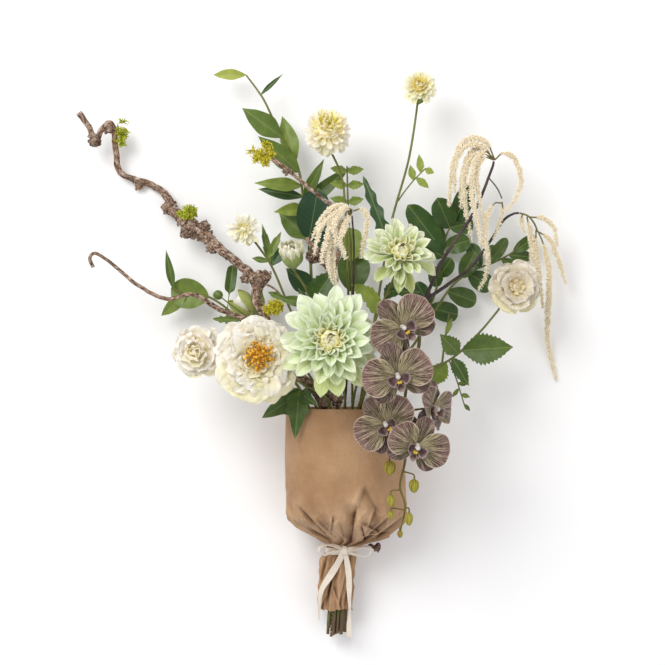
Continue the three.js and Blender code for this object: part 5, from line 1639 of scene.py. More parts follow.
def blooms() -> list[Bloom]:
    """The blooms of the bouquet, from the largest to the buds.

    Returns:
        The blooms.
    """
    ring = {"inner": DAHLIA_IN, "flat": 1.3, "ease": 1.3}
    return [
        Bloom(
            "large_dahlia", (330, 341, 226), (0, 0.08, 1), 16, (0, 1.732), ((339, 374, 150),),
            (Petals((14, 15, 15, 14, 12), 15, (-3, 50), (75, 41), (24, 13), DAHLIA, inward=(0, 0.35), **ring),
             Petals((11, 10), 11, (46, 58), (34, 28), (11, 9), DAHLIA_IN, CLOSED, rise=5, slot=1,
                    inward=(0.2, 0.7)),
             Petals((7, 6), 18, (70, 78), (37, 33), (12, 10), CLOSED, CLOSED, 0.32, rise=9, slot=1,
                    inward=(0.1, 0.5), alike=True)),
            Sepals(6, 24, 13, -12, 12), 0.04, (13, 15),
            ("green_petal", "dahlia_heart"), "green_petal",
            (Leaf((339, 380), (322, 388, 118), 20, tone=0.3),),
        ),
        Bloom(
            "medium_dahlia", (400, 256, 186), (0.06, 0.4, 0.9), 12, (0.5, 0.866),
            ((372, 330, 118), (392, 282, 146)),
            (Petals((10, 11, 11, 10), 12, (-6, 48), (56, 35), (17, 11), LOOSE_DAHLIA, inward=(0, 0.6),
                    loose=2.2, **ring),
             Petals((9, 8), 9, (46, 58), (28, 23), (11, 9), DAHLIA_IN, CLOSED, rise=4, slot=1,
                    inward=(0.2, 0.7)),
             Petals((6, 5), 15, (68, 78), (31, 28), (12, 10), CLOSED, CLOSED, 0.32, rise=7, slot=1,
                    inward=(0.1, 0.4), alike=True)),
            Sepals(5, 17, 10, -14, 9), 0.09, (10, 12),
            leaves=(
                Leaf((381, 303), (351, 284, 112), 22, tone=0.75, teeth=7),
                Leaf((385, 300), (398, 281, 112), 20, tone=0.3, teeth=6),
                Leaf((379, 312), (362, 286, 142), 20, Form.IVY, 0.8),
                Leaf((388, 292), (420, 292, 128), 16, Form.LOBED, 0.3),
            ), finishes=("olive_petal", "dahlia_heart"), paint="green_petal",
        ),
        Bloom(
            "open_peony", (257, 360, 192), (0.14, 0.1, 1), 14, (-1, 1.732),
            ((304, 385, 138), (276, 370, 156)),
            (Petals((7, 7, 8), 13, (0, 20), (66, 47), (52, 38), RUFFLED, RUFFLED, 0.9, loose=1.6,
                    inward=(0, 0.4)),
             Petals((9, 8), 14, (28, 44), (36, 29), (25, 17), FRILL, FRILL, 0.8, loose=1.8,
                    inward=(0.5, 0.75))),
            Sepals(5, 22, 12, -16, 9), 0.02, (12, 9),
            leaves=(Leaf((290, 378), (304, 352, 144), 18, tone=0.2),),
        ),
        Bloom(
            "right_peony", (515, 288, 112), (0.25, 0.12, 0.95), 10, (1.5, 0.866),
            ((400, 382, 106), (448, 361, 100), (478, 334, 94), (502, 305, 86)),
            (Petals((6, 6, 6), 9, (0, 32), (40, 29), (38, 25), PLEATED, PLEATED_IN, inward=(0, 0.35)),
             Petals((7, 5), 4, (40, 68), (15, 10), (7, 4.5), RAY, RAY_IN, rise=2, inward=(0.7, 1.0))),
            Sepals(5, 14, 8, -18, 8), 0.06, (7, 9), finishes=("sand_petal",),
            leaves=(
                Leaf((462, 350), (513, 347, 106), 44, tone=0.42, teeth=13),
                Leaf((458, 354), (440, 334, 116), 27, tone=0.5, teeth=9),
                Leaf((452, 358), (469, 386, 112), 21, tone=0.35, teeth=9),
                Leaf((446, 362), (430, 386, 88), 27, tone=0.7, teeth=9),
            ),
            twigs=(
                Twig(((449, 360, 100), (456, 378, 92), (461, 394, 84), (465, 407, 78)), (
                    Leaf((458, 384), (468, 384, 90), 7, NARROW, 0.5),
                    Leaf((461, 394), (470, 397, 84), 7, NARROW, 0.6),
                    Leaf((459, 388), (452, 397, 80), 6, NARROW, 0.6),
                    Leaf((464, 403), (470, 411, 76), 6, NARROW, 0.5))),
                Twig(((442, 364, 100), (445, 340, 92), (449, 314, 86)),
                     (Leaf((446, 334), (452, 318, 88), 8, NARROW, 0.7),), 1.6),
            ),
        ),
        Bloom(
            "left_ranunculus", (198, 351, 146), (-0.2, -0.08, 0.97), 15, (-2, 0),
            ((262, 384, 84), (222, 366, 108)),
            (Petals((7, 7, 6), 12, (-12, 30), (39, 32), (33, 26),
                    replace(SMOOTH_FRILL, ruffle=3.4, fold=1.1, folds=5.0), SMOOTH_FRILL, inward=(0, 0.4),
                    loose=1.8),
             Petals((5, 5, 4), 12, (46, 74), (30, 25), (23, 15), SMOOTH_FRILL, SMOOTH_FRILL,
                    inward=(0.4, 0.9), loose=2.2)),
            Sepals(5, 12, 7, -20, 8), 0.1, (13, 16), finishes=("milk_petal",),
        ),
        Bloom(
            "pompon", (328, 132, 108), (0, 0.55, 0.83), 25, (0.5, -0.866),
            ((349, 310, 66), (345, 204, 80), (340, 172, 86)),
            (Petals((13, 17, 19, 19, 17, 14, 10), 15, (-46, 76), (36, 33), (9.5, 5.5),
                    replace(RAY, form=Form.BROAD, ruffle=1.4), RAY_IN, inward=(-0.3, 1.1), loose=1.8),
             Petals((9, 6), 15, (60, 80), (34, 36), (8, 7), RAY, RAY, inward=(1.2, 1.2))),
            Sepals(5, 9, 6, -20, 7), 0.05, (16, 17), finishes=("pink_petal",),
        ),
        Bloom(
            "tall_mum", (419.5, 87, 92), (0, 0.32, 0.95), 10, (1, 0),
            ((378, 300, 84), (391, 224, 88), (409, 158, 88)),
            (Petals((14, 14, 12, 9, 6), 8, (-8, 68), (27, 17), (9, 6), replace(RAY, form=Form.BROAD), RAY_IN,
                    inward=(0.0, 1.1), loose=1.6),),
            Sepals(4, 9, 6, -20, 7), 0.12, (7, 9), finishes=("mum_petal",),
            leaves=(Leaf((385, 240), (363, 176, 70), 22, Form.LOBED, 0.17, wave=2.2),
                    Leaf((418, 105), (427, 94, 78), 7, tone=0.7)),
            twigs=(
                Twig(((398, 201, 88), (405, 191, 90), (414, 180, 92), (426, 168, 94)), (
                    Leaf((421, 172), (419, 154, 94), 11, tone=0.8),
                    Leaf((414, 180), (410, 165, 90), 11, tone=0.75),
                    Leaf((425, 169), (434, 173, 92), 10, tone=0.85),
                    Leaf((415, 178), (429, 188, 88), 11, tone=0.8))),
            ),
        ),
        Bloom(
            "left_daisy", (244, 229, 132), (-0.1, 0.1, 0.98), 9, (-1, 0),
            ((312, 352, 92), (291, 311, 104), (273, 269, 112), (258, 246, 114)),
            (Petals((12, 12, 10, 8, 5), 5, (-6, 62), (27, 15), (7, 4), replace(RAY, crumple=0.5, fold=0.6),
                    RAY_IN, inward=(0, 1.0), loose=2.6),),
            Sepals(5, 9, 5, -20, 7), 0.07, (5.5, 6), finishes=("daisy_petal",),
            leaves=(
                Leaf((273, 268), (262, 224, 104), 12, tone=0.5, teeth=4),
                Leaf((268, 258), (281, 232, 108), 13, tone=0.6, teeth=4),
                Leaf((268, 262), (252, 258, 106), 9, NARROW, 0.5),
                Leaf((286, 300), (268, 292, 98), 10, NARROW, 0.5),
                Leaf((273, 264), (287, 244, 106), 16, tone=0.1)),
        ),
        Bloom(
            "green_bud", (293, 262, 158), (-0.12, 0.8, 0.6), 8, (-0.5, 0.866),
            ((322, 340, 112), (307, 292, 136)),
            (Petals((8, 7, 5, 4), 11, (56, 78), (37, 33), (13, 9), replace(DAHLIA_IN, bow=-0.16, curl=0.14),
                    CLOSED, 0.5, inward=(0, 0.4), loose=1.3),),
            Sepals(6, 31, 20, 62, 7, 0.55), 0.03, (9, 14), finishes=("bud_petal", "dahlia_heart"),
            paint="green_petal",
            leaves=(Leaf((311, 304), (278, 298, 130), 15, NARROW, 0.45),
                    Leaf((311, 303), (334, 270, 131), 38, tone=0.3, teeth=9),
                    Leaf((313, 316), (298, 288, 120), 15, tone=0.2)),
        ),
        Bloom(
            "white_bud", (253, 313, 84), (-0.74, 0.64, 0.15), 5, (-1.5, -0.866),
            ((300, 362, 62), (270, 330, 76)),
            (Petals((6, 5), 10, (64, 78), (39, 41), (18, 12), SOFT, replace(SOFT, curl=0.2), 0.3,
                    inward=(0, 0.2)),),
            Sepals(4, 44, 21, 64, 6, 0.95), 0.08, (7, 12), finishes=("daisy_petal",),
            twigs=(Twig(((268, 328, 76), (254, 323, 92), (243, 314, 103), (231, 305, 106), (222, 298, 104),
                         (218, 295, 103)), (), 1.2, 6.9),),
        ),
    ]


# ---- Stamens -----------------------------------------------------------------------------------------
STAMEN_RINGS = ((24, 20), (22, 36), (18, 50), (13, 64), (7, 78))  # how many to a ring, and their lift


def make_stamens(shop: Workshop, finishes: Paints) -> None:
    """Makes the open peony's stamens: thin threads, each with a bead at its outer end, in rings.

    Args:
        shop: the node trees, and the small pieces that they copy.
        finishes: every finish, by its name.
    """
    look = unit(vec(0.14, 0.1, 1))
    rotation, middle = turned(look), spot((257, 357, 192)) + look * 11
    skin, thread = Skin(), Skin()
    line = smooth([np.zeros(3), vec(6, 0, 0.6), vec(12, 0, 0)], 3)
    add_tube(thread, line, np.linspace(0.75, 0.5, len(line)), 5)
    add_ball(thread, vec(14, 0, 0), vec(1, 0.4, 0.2), 5.2, 1.7, sides=7)
    for i, (count, lift) in enumerate(STAMEN_RINGS):
        angle = math.radians(lift)
        skin.take(shop.ring.run(None, {
            "Piece": shop.pattern(thread), "Count": count, "Radius": max(5.5 * math.cos(angle), 0.8),
            "Height": 5.0 * math.sin(angle), "Lift": angle, "Turn": 0.7 * i, "Loose": 3.0, "Inward": 0.0,
            "Seed": 40 + i,
        }), rotation, middle)
    add_ball(skin, middle + look * 3, look, 13, 8, rough=0.3, grain=3, tone=0.1)
    skin.piece("peony_stamen_threads", [finishes["stamen"]], "peony_stamens", "stamen")


# ---- Orchids -----------------------------------------------------------------------------------------
ORCHID_SEPAL = Blade(Form.SEPAL, cup=0.22, bow=0.06, curl=-0.04, wave=0.8, ruffle=0.9, rib=0.5, fold=0.2,
                     thick=0.9, rows=22, columns=15)
ORCHID_WING = Blade(Form.FAN, cup=0.12, bow=0.1, curl=-0.05, wave=1.6, waves=1.3, ruffle=1.6, rib=0.6,
                    fold=0.3, thick=0.9, rows=26, columns=23)
ORCHID_LOBE = Blade(Form.BROAD, cup=0.5, bow=-0.12, curl=0.15, wave=0.8, ruffle=0.8, rib=0.2, thick=0.8,
                    rows=14, columns=11)


@dataclass(frozen=True)
class Orchid:
    """A moth orchid bloom.

    Attributes:
        at: where its middle is.
        face: the way it faces.
        turn: its turn about that way, in degrees.
        width: from wing to wing.
        depth: how far below its middle its stalk ends.
        throat: how far from its middle the petals are rooted, as a share of its half width.
    """

    at: Spot
    face: Spot
    turn: float
    width: float
    depth: float = 5.0
    throat: float = 0.06

    def make(self, finishes: Paints, number: int) -> Array:
        """Makes the bloom and returns the point where its stalk meets it.

        Args:
            finishes: every finish, by its name.
            number: its number in the spray.

        Returns:
            The point.
        """
        look, centre = unit(np.array(self.face)), spot(self.at)
        rotation = turned(look, self.turn)
        size = self.width / 2
        skin = Skin()

        def part(shape: Blade, turns: tuple[int, ...], reach: float, across: float, lift: float,
                 height: float = 0.0, slot: int = 0) -> None:
            """Adds a petal at each of the turns. Its length and width are shares of the half width.

            Args:
                shape: the petal's shape.
                turns: where they stand, in degrees.
                reach: their length.
                across: their width.
                lift: how steeply they stand, in degrees.
                height: how far their roots are raised.
                slot: their finish.
            """
            tone = 0.1 + 0.15 * (number % 2) if shape is ORCHID_SEPAL else 0.85
            for turn in turns:
                out, forward, face = raised(math.radians(turn), math.radians(lift))
                root = centre + rotation @ (out * size * self.throat + UP * height)
                axes = blade_axes(rotation @ forward, rotation @ face)
                shape.add_to(skin, root, axes, size * reach, size * across, (tone, 0, 0), number * 7 + turn,
                             slot)

        lip = {"height": 5, "slot": 1}
        part(ORCHID_SEPAL, (90,), 0.93, 0.66, 0)
        part(ORCHID_SEPAL, (215, 325), 0.88, 0.6, 0)
        part(ORCHID_WING, (14, 166), 0.97, 1.1, 12, height=3)
        part(ORCHID_LOBE, (202, 338), 0.4, 0.34, 38, **lip)
        part(replace(ORCHID_LOBE, form=Form.SEPAL, curl=0.25), (270,), 0.4, 0.26, 4, **lip)
        part(replace(ORCHID_LOBE, form=NARROW), (246, 294), 0.34, 0.1, 30, **lip)
        for side in (-1, 1):
            bead = centre + rotation @ vec(side * size * 0.025, -size * 0.16, 9)
            add_ball(skin, bead, rotation @ vec(side * 0.4, -0.5, 1), 5.5, 2.3, 3, sides=9, rough=0.2,
                     grain=2)
        base, tip = (centre + rotation @ vec(0, size * share, up) for share, up in ((0.05, 3), (0.02, 12)))
        column = smooth([base, (base + tip) / 2 + rotation @ vec(0, 1.2, 0), tip], 5)
        add_tube(skin, column, spread((3.4, 2.8, 3.2), len(column)), 12, 2)
        add_ball(skin, tip + rotation @ vec(0, -0.8, 0.4), rotation @ vec(0, -0.5, 1), 7.0, 3.6, 2, sides=12)
        used = [finishes[f] for f in ("orchid_petal", "orchid_lip", "column", "callus_yellow")]
        skin.piece(f"orchid_{number}_bloom", used, f"orchid_{number}", "orchid_petal")
        return centre - look * (self.depth + GAP)


@dataclass(frozen=True)
class OrchidSpray:
    """The arching orchid stem with its blooms and closed buds, each bud with its length and width."""

    line: tuple[Spot, ...] = (
        (388, 345, 132), (404, 304, 150), (417, 308, 172), (419, 345, 182), (410, 372, 184), (405, 400, 182),
        (408, 430, 178), (405, 462, 172), (400, 486, 166), (405, 506, 160), (400, 533, 154),
    )
    blooms: tuple[Orchid, ...] = (
        Orchid((403, 328, 232), (0.13, 0, 1), 42, 98), Orchid((398, 376, 248), (0, -0.1, 1), 16, 98),
        Orchid((430, 409, 184), (0.9, 0, 0.55), -10, 84), Orchid((387, 424, 211), (-0.12, -0.1, 1), 40, 92),
        Orchid((416, 446, 224), (0.2, -0.2, 1), -22, 90),
    )
    buds: tuple[tuple[Spot, float, float], ...] = (
        ((390, 468, 172), 21, 17), ((414, 486, 168), 20, 14), ((391, 501, 164), 18, 12),
        ((391, 515, 160), 12, 9), ((409, 519, 160), 19, 11), ((400, 534, 154), 11, 8),
    )

    def make(self, finishes: Paints) -> None:
        """Makes the stem, its buds and its blooms.

        Args:
            finishes: every finish, by its name.
        """
        skin = Skin()
        line = smooth([*bundled(1, 1.732, 0.03), *map(spot, self.line)], 10)
        middle, radii = evenly(line, 3.0, spread((2.6, 2.6, 2.6, 2.2, 1.7, 1.2), len(line)))
        add_tube(skin, middle, radii, 10, rough=0.06, grain=7)
        free = middle[len(middle) // 2 :]

        def stalk(below: Array, top: Array, radius: float) -> None:
            """Adds a stalk from the nearest point of the stem.

            Args:
                below: a point that it passes.
                top: its end.
                radius: its radius at the middle.
            """
            root = free[np.argmin(np.linalg.norm(free - below, axis=1))]
            thin = smooth([root, (root + below) / 2 + vec(0, 1, 1), below, top], 5)
            add_tube(skin, thin, spread((radius * 1.2, radius, radius * 1.3), len(thin)), 8)

        for i, bloom in enumerate(self.blooms):
            top = bloom.make(finishes, i + 1)
            stalk(top - unit(np.array(bloom.face)) * 7, top, 1.4)
        for i, (at, long, wide) in enumerate(self.buds):
            centre = spot(at)
            stalk(centre + vec(0, long * 0.75, 0), centre + vec(0, long * 0.3, 0), 1.0)
            add_ball(skin, centre, vec(0, -1, 0.15), long, wide / 2, 1, 0.2 + 0.15 * i, 18, rough=0.05,
                     grain=9, seed=i, lean=0.3)
        used = [finishes["orchid_stem"], finishes["orchid_bud"]]
        skin.piece("orchid_spray_line", used, "orchid_spray_stem", "flower_stem")


# ---- Amaranth ----------------------------------------------------------------------------------------
@dataclass(frozen=True)
class Tassels:
    """A bunch of hanging tassels: the node, each tassel's line and radius, and any thread they share."""

    node: str
    lines: tuple[tuple[tuple[Spot, ...], float], ...]
    thread: tuple[Spot, ...] = ()

    def make(self, shop: Workshop, finishes: Paints) -> None:
        """Makes the tassels, each a tapering core thick with florets.

        Args:
            shop: the node trees, and the small pieces that they copy.
            finishes: every finish, by its name.
        """
        floret, skin = Skin(), Skin()
        add_tube(floret, np.outer(np.linspace(0, 1, 3), [0, 0, 3.6]), np.array([0.75, 0.7, 0.15]), 4)
        bead = shop.pattern(floret)
        for i, (route, radius) in enumerate(self.lines):
            middle = course(route, 8, 3.0)
            t = np.linspace(0, 1, len(middle))
            # It swells from a thread to its full width, then tapers to its tip.
            taper = 1 - 0.72 * np.clip((t - 0.45) / 0.55, 0, 1) ** 1.6
            full = radius * 0.68 * np.clip((t - 0.04) * 6, 0.25, 1) * taper
            full = full * (1 + 0.18 * np.sin(along(middle) * 0.45 + i) + 0.1 * noise(middle, 9, i))
            sway = np.stack([noise(middle, 14, 3 + i), noise(middle, 14, 5 + i), np.zeros(len(t))], axis=1)
            middle = middle + sway * (t * (1 - t) * 5)[:, None]
            middle[:, 2] = np.maximum(middle[:, 2], full + 1.5)
            brush = t > 0.1
            core = Skin()
            add_tube(core, middle[brush], full[brush] * 0.5, 8)
            shop.strew(skin, core.mesh("core"), bead, FLORETS, 60 + i)
            add_tube(skin, middle[brush], full[brush] * 0.5, 8, tone=0.9, rough=0.12, grain=3)
            add_tube(skin, middle[:max(4, len(middle) // 4)], 1.1, 7, slot=1)
        if self.thread:
            add_tube(skin, smooth([*map(spot, self.thread)], 6), 1.3, 7, slot=1)
        skin.piece(self.node + "_florets", [finishes["amaranth_floret"], finishes["orchid_stem"]], self.node,
                   "amaranth")


TOP_TASSELS = Tassels("amaranth_top_tassels", (
    (((494.5, 159, 99), (486, 142, 104), (470, 138, 104), (457, 152, 96), (451, 178, 84), (449, 206, 70)),
     7.5),
    (((494, 160, 100), (482, 147, 96), (468, 157, 92), (462, 182, 82), (461, 208, 66)), 7),
    (((494, 160, 102), (485, 152, 110), (474, 165, 108), (472, 195, 104), (478, 225, 98), (481, 246, 92)), 7),
    (((494.5, 160, 98), (504, 153, 100), (516, 161, 98), (521, 182, 92), (516, 198, 86), (508, 210, 80)),
     6.5),
    (((494, 159, 101), (479, 145, 107), (464, 148, 102), (455, 166, 92), (455, 192, 80)), 6.5),
    (((494, 160, 101), (480, 153, 103), (467, 166, 98), (464, 192, 90), (468, 222, 84), (472, 240, 80)), 6),
    (((494, 160, 103), (484, 158, 108), (477, 172, 104), (479, 196, 98), (484, 220, 92)), 5.5),
))
LOW_TASSELS = Tassels("amaranth_low_tassels", (
    (((501, 203, 83), (494, 204, 88), (486, 220, 92), (486, 244, 90), (488, 264, 84), (484, 280, 76),
      (478, 290, 70)), 6.5),
    (((502, 202, 82), (503, 212, 76), (499, 224, 72), (493, 240, 66)), 4.5),
))
RIGHT_TASSELS = Tassels("amaranth_right_tassels", (
    (((536, 228, 64), (543, 243, 62), (549, 268, 54), (549, 300, 38), (547, 332, 18), (550, 352, 8),
      (553, 366, 3), (556, 380, 2.4)), 8),
    (((530, 217, 67), (545, 219, 66), (555, 231, 60), (557, 247, 50)), 6),
    (((537, 231, 63), (550, 240, 58), (559, 262, 42), (566, 285, 26)), 6),
    (((536, 230, 62), (536, 250, 52), (539, 278, 40), (543, 308, 28)), 7),
    (((527, 217, 67), (530, 230, 58), (532, 248, 50), (531, 270, 44)), 6),
    (((522.6, 214.2, 67.6), (521, 222, 60), (525, 234, 54)), 4.5),
), ((519.65, 213.1, 68), (528, 216, 68), (534, 223, 66), (537, 230, 64)))
MIDDLE_TASSELS = Tassels("middle_amaranth_tassels", (
    (((352, 210, 190), (340, 207, 196), (326, 215, 192), (316, 234, 184)), 7),
    (((351, 211, 191), (338, 214, 204), (327, 236, 200), (321, 264, 190)), 6.5),
    (((351, 212, 190), (342, 222, 188), (333, 240, 184), (333, 266, 178), (338, 291, 168)), 7.5),
    (((352, 212, 192), (346, 224, 204), (340, 241, 202), (346, 259, 194)), 6.5),
    (((353, 211, 190), (362, 209, 190), (367, 220, 186), (364, 238, 178), (361, 258, 170)), 6),
    (((352, 210, 191), (337, 206, 200), (322, 219, 198), (312, 240, 186)), 6),
    (((351, 211, 190), (339, 211, 206), (321, 228, 200), (314, 254, 186)), 6),
    (((352, 211, 190), (341, 214, 200), (331, 232, 196), (328, 262, 186), (333, 284, 174)), 6),
    (((352, 210, 192), (345, 208, 205), (335, 222, 210), (336, 246, 200)), 6),
))


@dataclass(frozen=True)
class DarkStem:
    """A dark amaranth stem: its node, slot and route, and its forks with their radii."""

    node: str
    slot: tuple[float, float]
    shorter: float
    via: tuple[Spot, ...]
    forks: tuple[tuple[tuple[Spot, ...], tuple[float, ...]], ...]
    radii: tuple[float, ...] = (2.6, 2.6)

    def make(self, finishes: Paints) -> None:
        """Makes the stem with its forks.

        Args:
            finishes: every finish, by its name.
        """
        skin = Skin()
        routes = [([*bundled(*self.slot, self.shorter), *map(spot, self.via)], self.radii)]
        routes += [([*map(spot, route)], radii) for route, radii in self.forks]
        for points, radii in routes:
            line = smooth(points, 8)
            middle, sizes = evenly(line, 2.5, spread(radii, len(line)))
            add_tube(skin, middle, sizes, 10, rough=0.09, grain=5)
        skin.piece(self.node + "_line", [finishes["dark_stem"]], self.node, "dark_stem")


DARK_STEMS = (
    DarkStem("amaranth_stem", (2, 0), 0.05, ((400, 348, 70), (424, 301, 76)), (
        (((424, 301, 76), (444, 258, 82), (474, 212, 88), (491, 171, 96), (493.9, 161.4, 97.9)),
         (2.6, 2.4, 2.2, 1.8, 1.6)),
        (((424, 301, 76), (450, 283, 62), (471, 267, 54), (489, 243, 56), (503, 221, 64), (513, 214, 68),
          (519, 213, 68)), (2.6, 2.3, 2, 1.8, 1.5)),
        (((489, 178, 95), (497, 188, 90), (502, 198.5, 84)), (1.0, 0.8)),
    )),
    DarkStem("middle_amaranth_stem", (0, 0), 0.11, ((352, 320, 112), (354, 250, 156), (352, 216, 184)), (),
             (2.2, 2.0, 1.4, 1.1)),
)


# ---- Branches and lichen -----------------------------------------------------------------------------
@dataclass(frozen=True)
class Branch:
    """A weathered branch: its node, its lines with their radii, and the knots on them.

    Attributes:
        node: the node it stands for.
        tied: its slot in the bundle and the share of its tail that is cut off.
        tail: its radii from the cut end to the rim of the wrap.
        lines: each line's stations: the spot and the radius; the first one starts in the bundle.
        knots: burls on it: the spot, the length, the radius and the way it points.
        flaking: from this radius on its bark flakes.
    """

    node: str
    tied: tuple[float, float, float]
    tail: tuple[float, float, float, float]
    lines: tuple[tuple[tuple[float, float, float, float], ...], ...]
    knots: tuple[tuple[Spot, float, float, Spot], ...] = ()
    flaking: float = 7.4

    def make(self, shop: Workshop, finishes: Paints) -> None:
        """Makes the branch, with flakes of loose bark on its thick parts.

        Args:
            shop: the node trees, and the small pieces that they copy.
            finishes: every finish, by its name.
        """
        flake = Skin()
        chip = Blade(Form.BROAD, cup=0.5, bow=0.2, ruffle=1.0, rib=0.0, thick=0.8, rows=4, columns=4)
        chip.add_to(flake, vec(0, -1.2, 0), blade_axes(vec(0.1, 1, 0.35), UP), 4.6, 3.6)
        skin, rugged = Skin(), Skin()
        for i, stations in enumerate(self.lines):
            points, radii = [spot(at[:3]) for at in stations], [at[3] for at in stations]
            if i == 0:
                points, radii = [*bundled(*self.tied), *points], [*self.tail, *radii]
            line = smooth(points, 8)
            middle, sizes = evenly(line, 1.6, spread(radii, len(line)))
            wild = np.ones(len(middle))  # it runs straight inside the bundle
            if i == 0:
                wild = np.clip((middle[:, 1] - bundled(*self.tied)[3][1]) / 25, 0.12, 1)
            wander = np.stack([noise(middle, 11, i + salt) for salt in (3, 4, 5)], axis=1)
            middle = middle + wander * (sizes * 0.26 * wild)[:, None]
            rough = (0.1 + 0.24 * np.clip((sizes - 4) / 6, 0, 1))[:, None] * wild[:, None]
            add_tube(skin, middle, sizes * 0.92, 26, rough=rough, grain=5, seed=i + 1)
            thick = (wild > 0.9) & (sizes > self.flaking)
            for part in np.split(np.arange(len(middle)), np.flatnonzero(np.diff(thick)) + 1):
                if len(part) > 3 and thick[part[0]]:
                    add_tube(rugged, middle[part], sizes[part] * 0.94, 12, rough=0.15, grain=6, seed=i + 1)
        for i, (at, length, radius, axis) in enumerate(self.knots):
            add_ball(skin, spot(at), np.array(axis, float), length, radius, sides=30, rough=0.5, grain=5,
                     seed=i + 7)
            for share in (1, 0.97):
                add_ball(rugged, spot(at), np.array(axis, float), length * share, radius * share, sides=12)
        shop.strew(skin, rugged.mesh("rugged"), shop.pattern(flake), BARK_FLAKES, 11)
        skin.piece(self.node + "_bark", [finishes["bark"]], self.node, "bark", 35)

BRANCHES = (
    Branch("long_branch", (-1.5, 0.866, 0.0), (2.7, 2.7, 4.6, 7), (
        ((300, 376, 104, 7), (277, 344, 108, 6.5), (266, 318, 109, 6.5), (257, 300, 104, 6.8),
         (258, 287, 97, 8),
         (263, 280, 92, 7.5), (253, 275, 86, 6.6), (240, 266, 79, 6.4), (225, 253, 70, 6.6),
         (213, 243, 60, 7),
         (203, 234, 52, 9), (192, 227, 43, 9.5), (181, 217, 31, 8), (172, 209, 21, 7), (166, 196, 11, 5.6),
         (155, 187, 6.6, 4.8), (136, 179.5, 9, 4.7), (123, 174, 15, 4.6), (118, 166, 19, 4.6),
         (115, 146, 26, 4.4),
         (114, 132, 34, 4.4), (110, 123, 40, 4.4), (101, 130, 44, 4.3), (96, 139, 44, 4.6),
         (89, 127, 46, 4.3), (79, 112, 52, 4.8)),
        ((269, 328, 110, 4.2), (247, 319, 116, 3.8), (232, 314, 118, 3.8), (218, 309, 114, 3.8),
         (198, 296, 105, 3.5),
         (185, 295, 100, 3.2), (168, 299, 96, 3), (151, 293, 90, 2.9), (131, 280, 84, 2.8),
         (112, 264, 78, 2.6), (96, 253, 74, 2.6), (90, 258, 72, 2.6), (93, 267, 70, 3)),
        ((262, 284, 92, 1.8), (270, 286, 97, 1.6), (278, 292, 99, 1.5), (284, 301, 100, 1.5)),
    ), (
        ((169, 208, 19), 20, 8.5, (1, 0.9, 0.3)), ((193, 229, 44), 32, 10.5, (1, -0.8, 0.45)),
        ((186, 232, 40), 16, 8, (1, 0.2, 0.2)),
        ((205, 226, 56), 12, 6, (1, 0.6, 0.4)), ((246, 278, 84), 13, 6, (1, 0.3, 0.3)),
        ((259, 279, 92), 26, 9, (1, 0.1, 0.3)),
        ((266, 276, 94), 12, 6, (0.6, 1, 0.2)), ((212, 249, 60), 12, 6, (1, 0.4, 0.2)),
        ((95, 141, 44), 18, 7, (0.8, -0.9, 0)),
        ((108, 128, 40), 12, 6, (1, 0.5, 0)), ((139, 184, 8), 12, 6, (1, -0.4, 0)),
    )),
    Branch("short_branch", (-0.5, -0.866, 0.06), (2.5, 2.5, 2.6, 3.4), (
        ((337, 335, 82, 5), (333, 278, 110, 6.5), (318, 256, 120, 6), (307, 238, 126, 4)),
        ((332, 276, 112, 4), (341, 240, 124, 3.4), (337, 211, 134, 3), (320, 197, 142, 2.8),
         (298, 178, 146, 2.8), (287, 169, 146, 3.2), (273, 159, 146, 3.6)),
    ), (((287, 171, 146), 8, 4.2, (0.4, -1, 0.2)), ((323, 392, 112), 42, 7.5, (1, -0.35, 0)),
        ((325, 401, 116), 15, 7.5, (1, 0.4, 0.2)),
        ((337, 400, 114), 16, 7, (1, 0.2, 0)), ((313, 255, 122), 22, 8, (0.6, 1, 0.2)))),
)


@dataclass(frozen=True)
class Lichen:
    """A cushion of lichen on a branch.

    Attributes:
        node: the node it stands for.
        at: its middle.
        size: its half sizes.
        finish: its finish.
        clumps: how many clumps of threads it has.
        threads: the lean, turn and length of the threads of a tuft.
    """

    node: str
    at: Spot
    size: tuple[float, float, float]
    finish: str = "lichen"
    clumps: int = 14
    threads: tuple[tuple[float, float, float], ...] = (
        (0.1, 0, 8), (0.6, 1, 7), (0.7, 3.2, 6), (0.55, 5, 7), (0.9, 2.1, 5),
    )

    def make(self, shop: Workshop, finishes: Paints) -> None:
        """Makes the cushion: clumps of curled, forked threads.

        Args:
            shop: the node trees, and the small pieces that they copy.
            finishes: every finish, by its name.
        """
        tuft, skin = Skin(), Skin()
        for k, (lean, turn, long) in enumerate(self.threads):
            out = vec(math.sin(lean) * math.cos(turn), math.sin(lean) * math.sin(turn), math.cos(lean))
            bend = vec(math.cos(turn + k), math.sin(turn + k), -0.2) * 2.2
            far = out * long * 0.8
            line = smooth([np.zeros(3), out * long * 0.45, far + bend * 0.6, far + bend * 1.5], 2)
            add_tube(tuft, line, np.linspace(0.7, 0.35, len(line)), 4)
        thread = shop.pattern(tuft)
        draw = np.random.default_rng(len(self.node))
        small = np.array(self.size) - 3.0
        for i in range(self.clumps):
            cushion = Skin()
            off = unit(draw.normal(size=3)) * draw.uniform(0.35, 0.95) * small
            add_ball(cushion, spot(self.at) + off, UP, small.min() * 0.4, small.min() * 0.22, sides=9,
                     rough=0.5, grain=4, tone=0.2)
            skin.take(cushion.mesh("clump"))
            shop.strew(skin, cushion.mesh("clump"), thread, LICHEN_THREADS, 21 + i)
        skin.piece(self.node + "_tufts", [finishes[self.finish]], self.node, "lichen")


LICHENS = (
    Lichen("lichen_tip", (121.5, 132, 34), (11, 22, 12)),
    Lichen("lichen_bend", (188, 212, 43), (18, 16, 13)),
    Lichen("lichen_top", (264, 153, 146), (24, 18, 14), "yellow_lichen"),
    Lichen("lichen_fork", (273, 307, 114), (19, 16, 13), "yellow_lichen"),
)


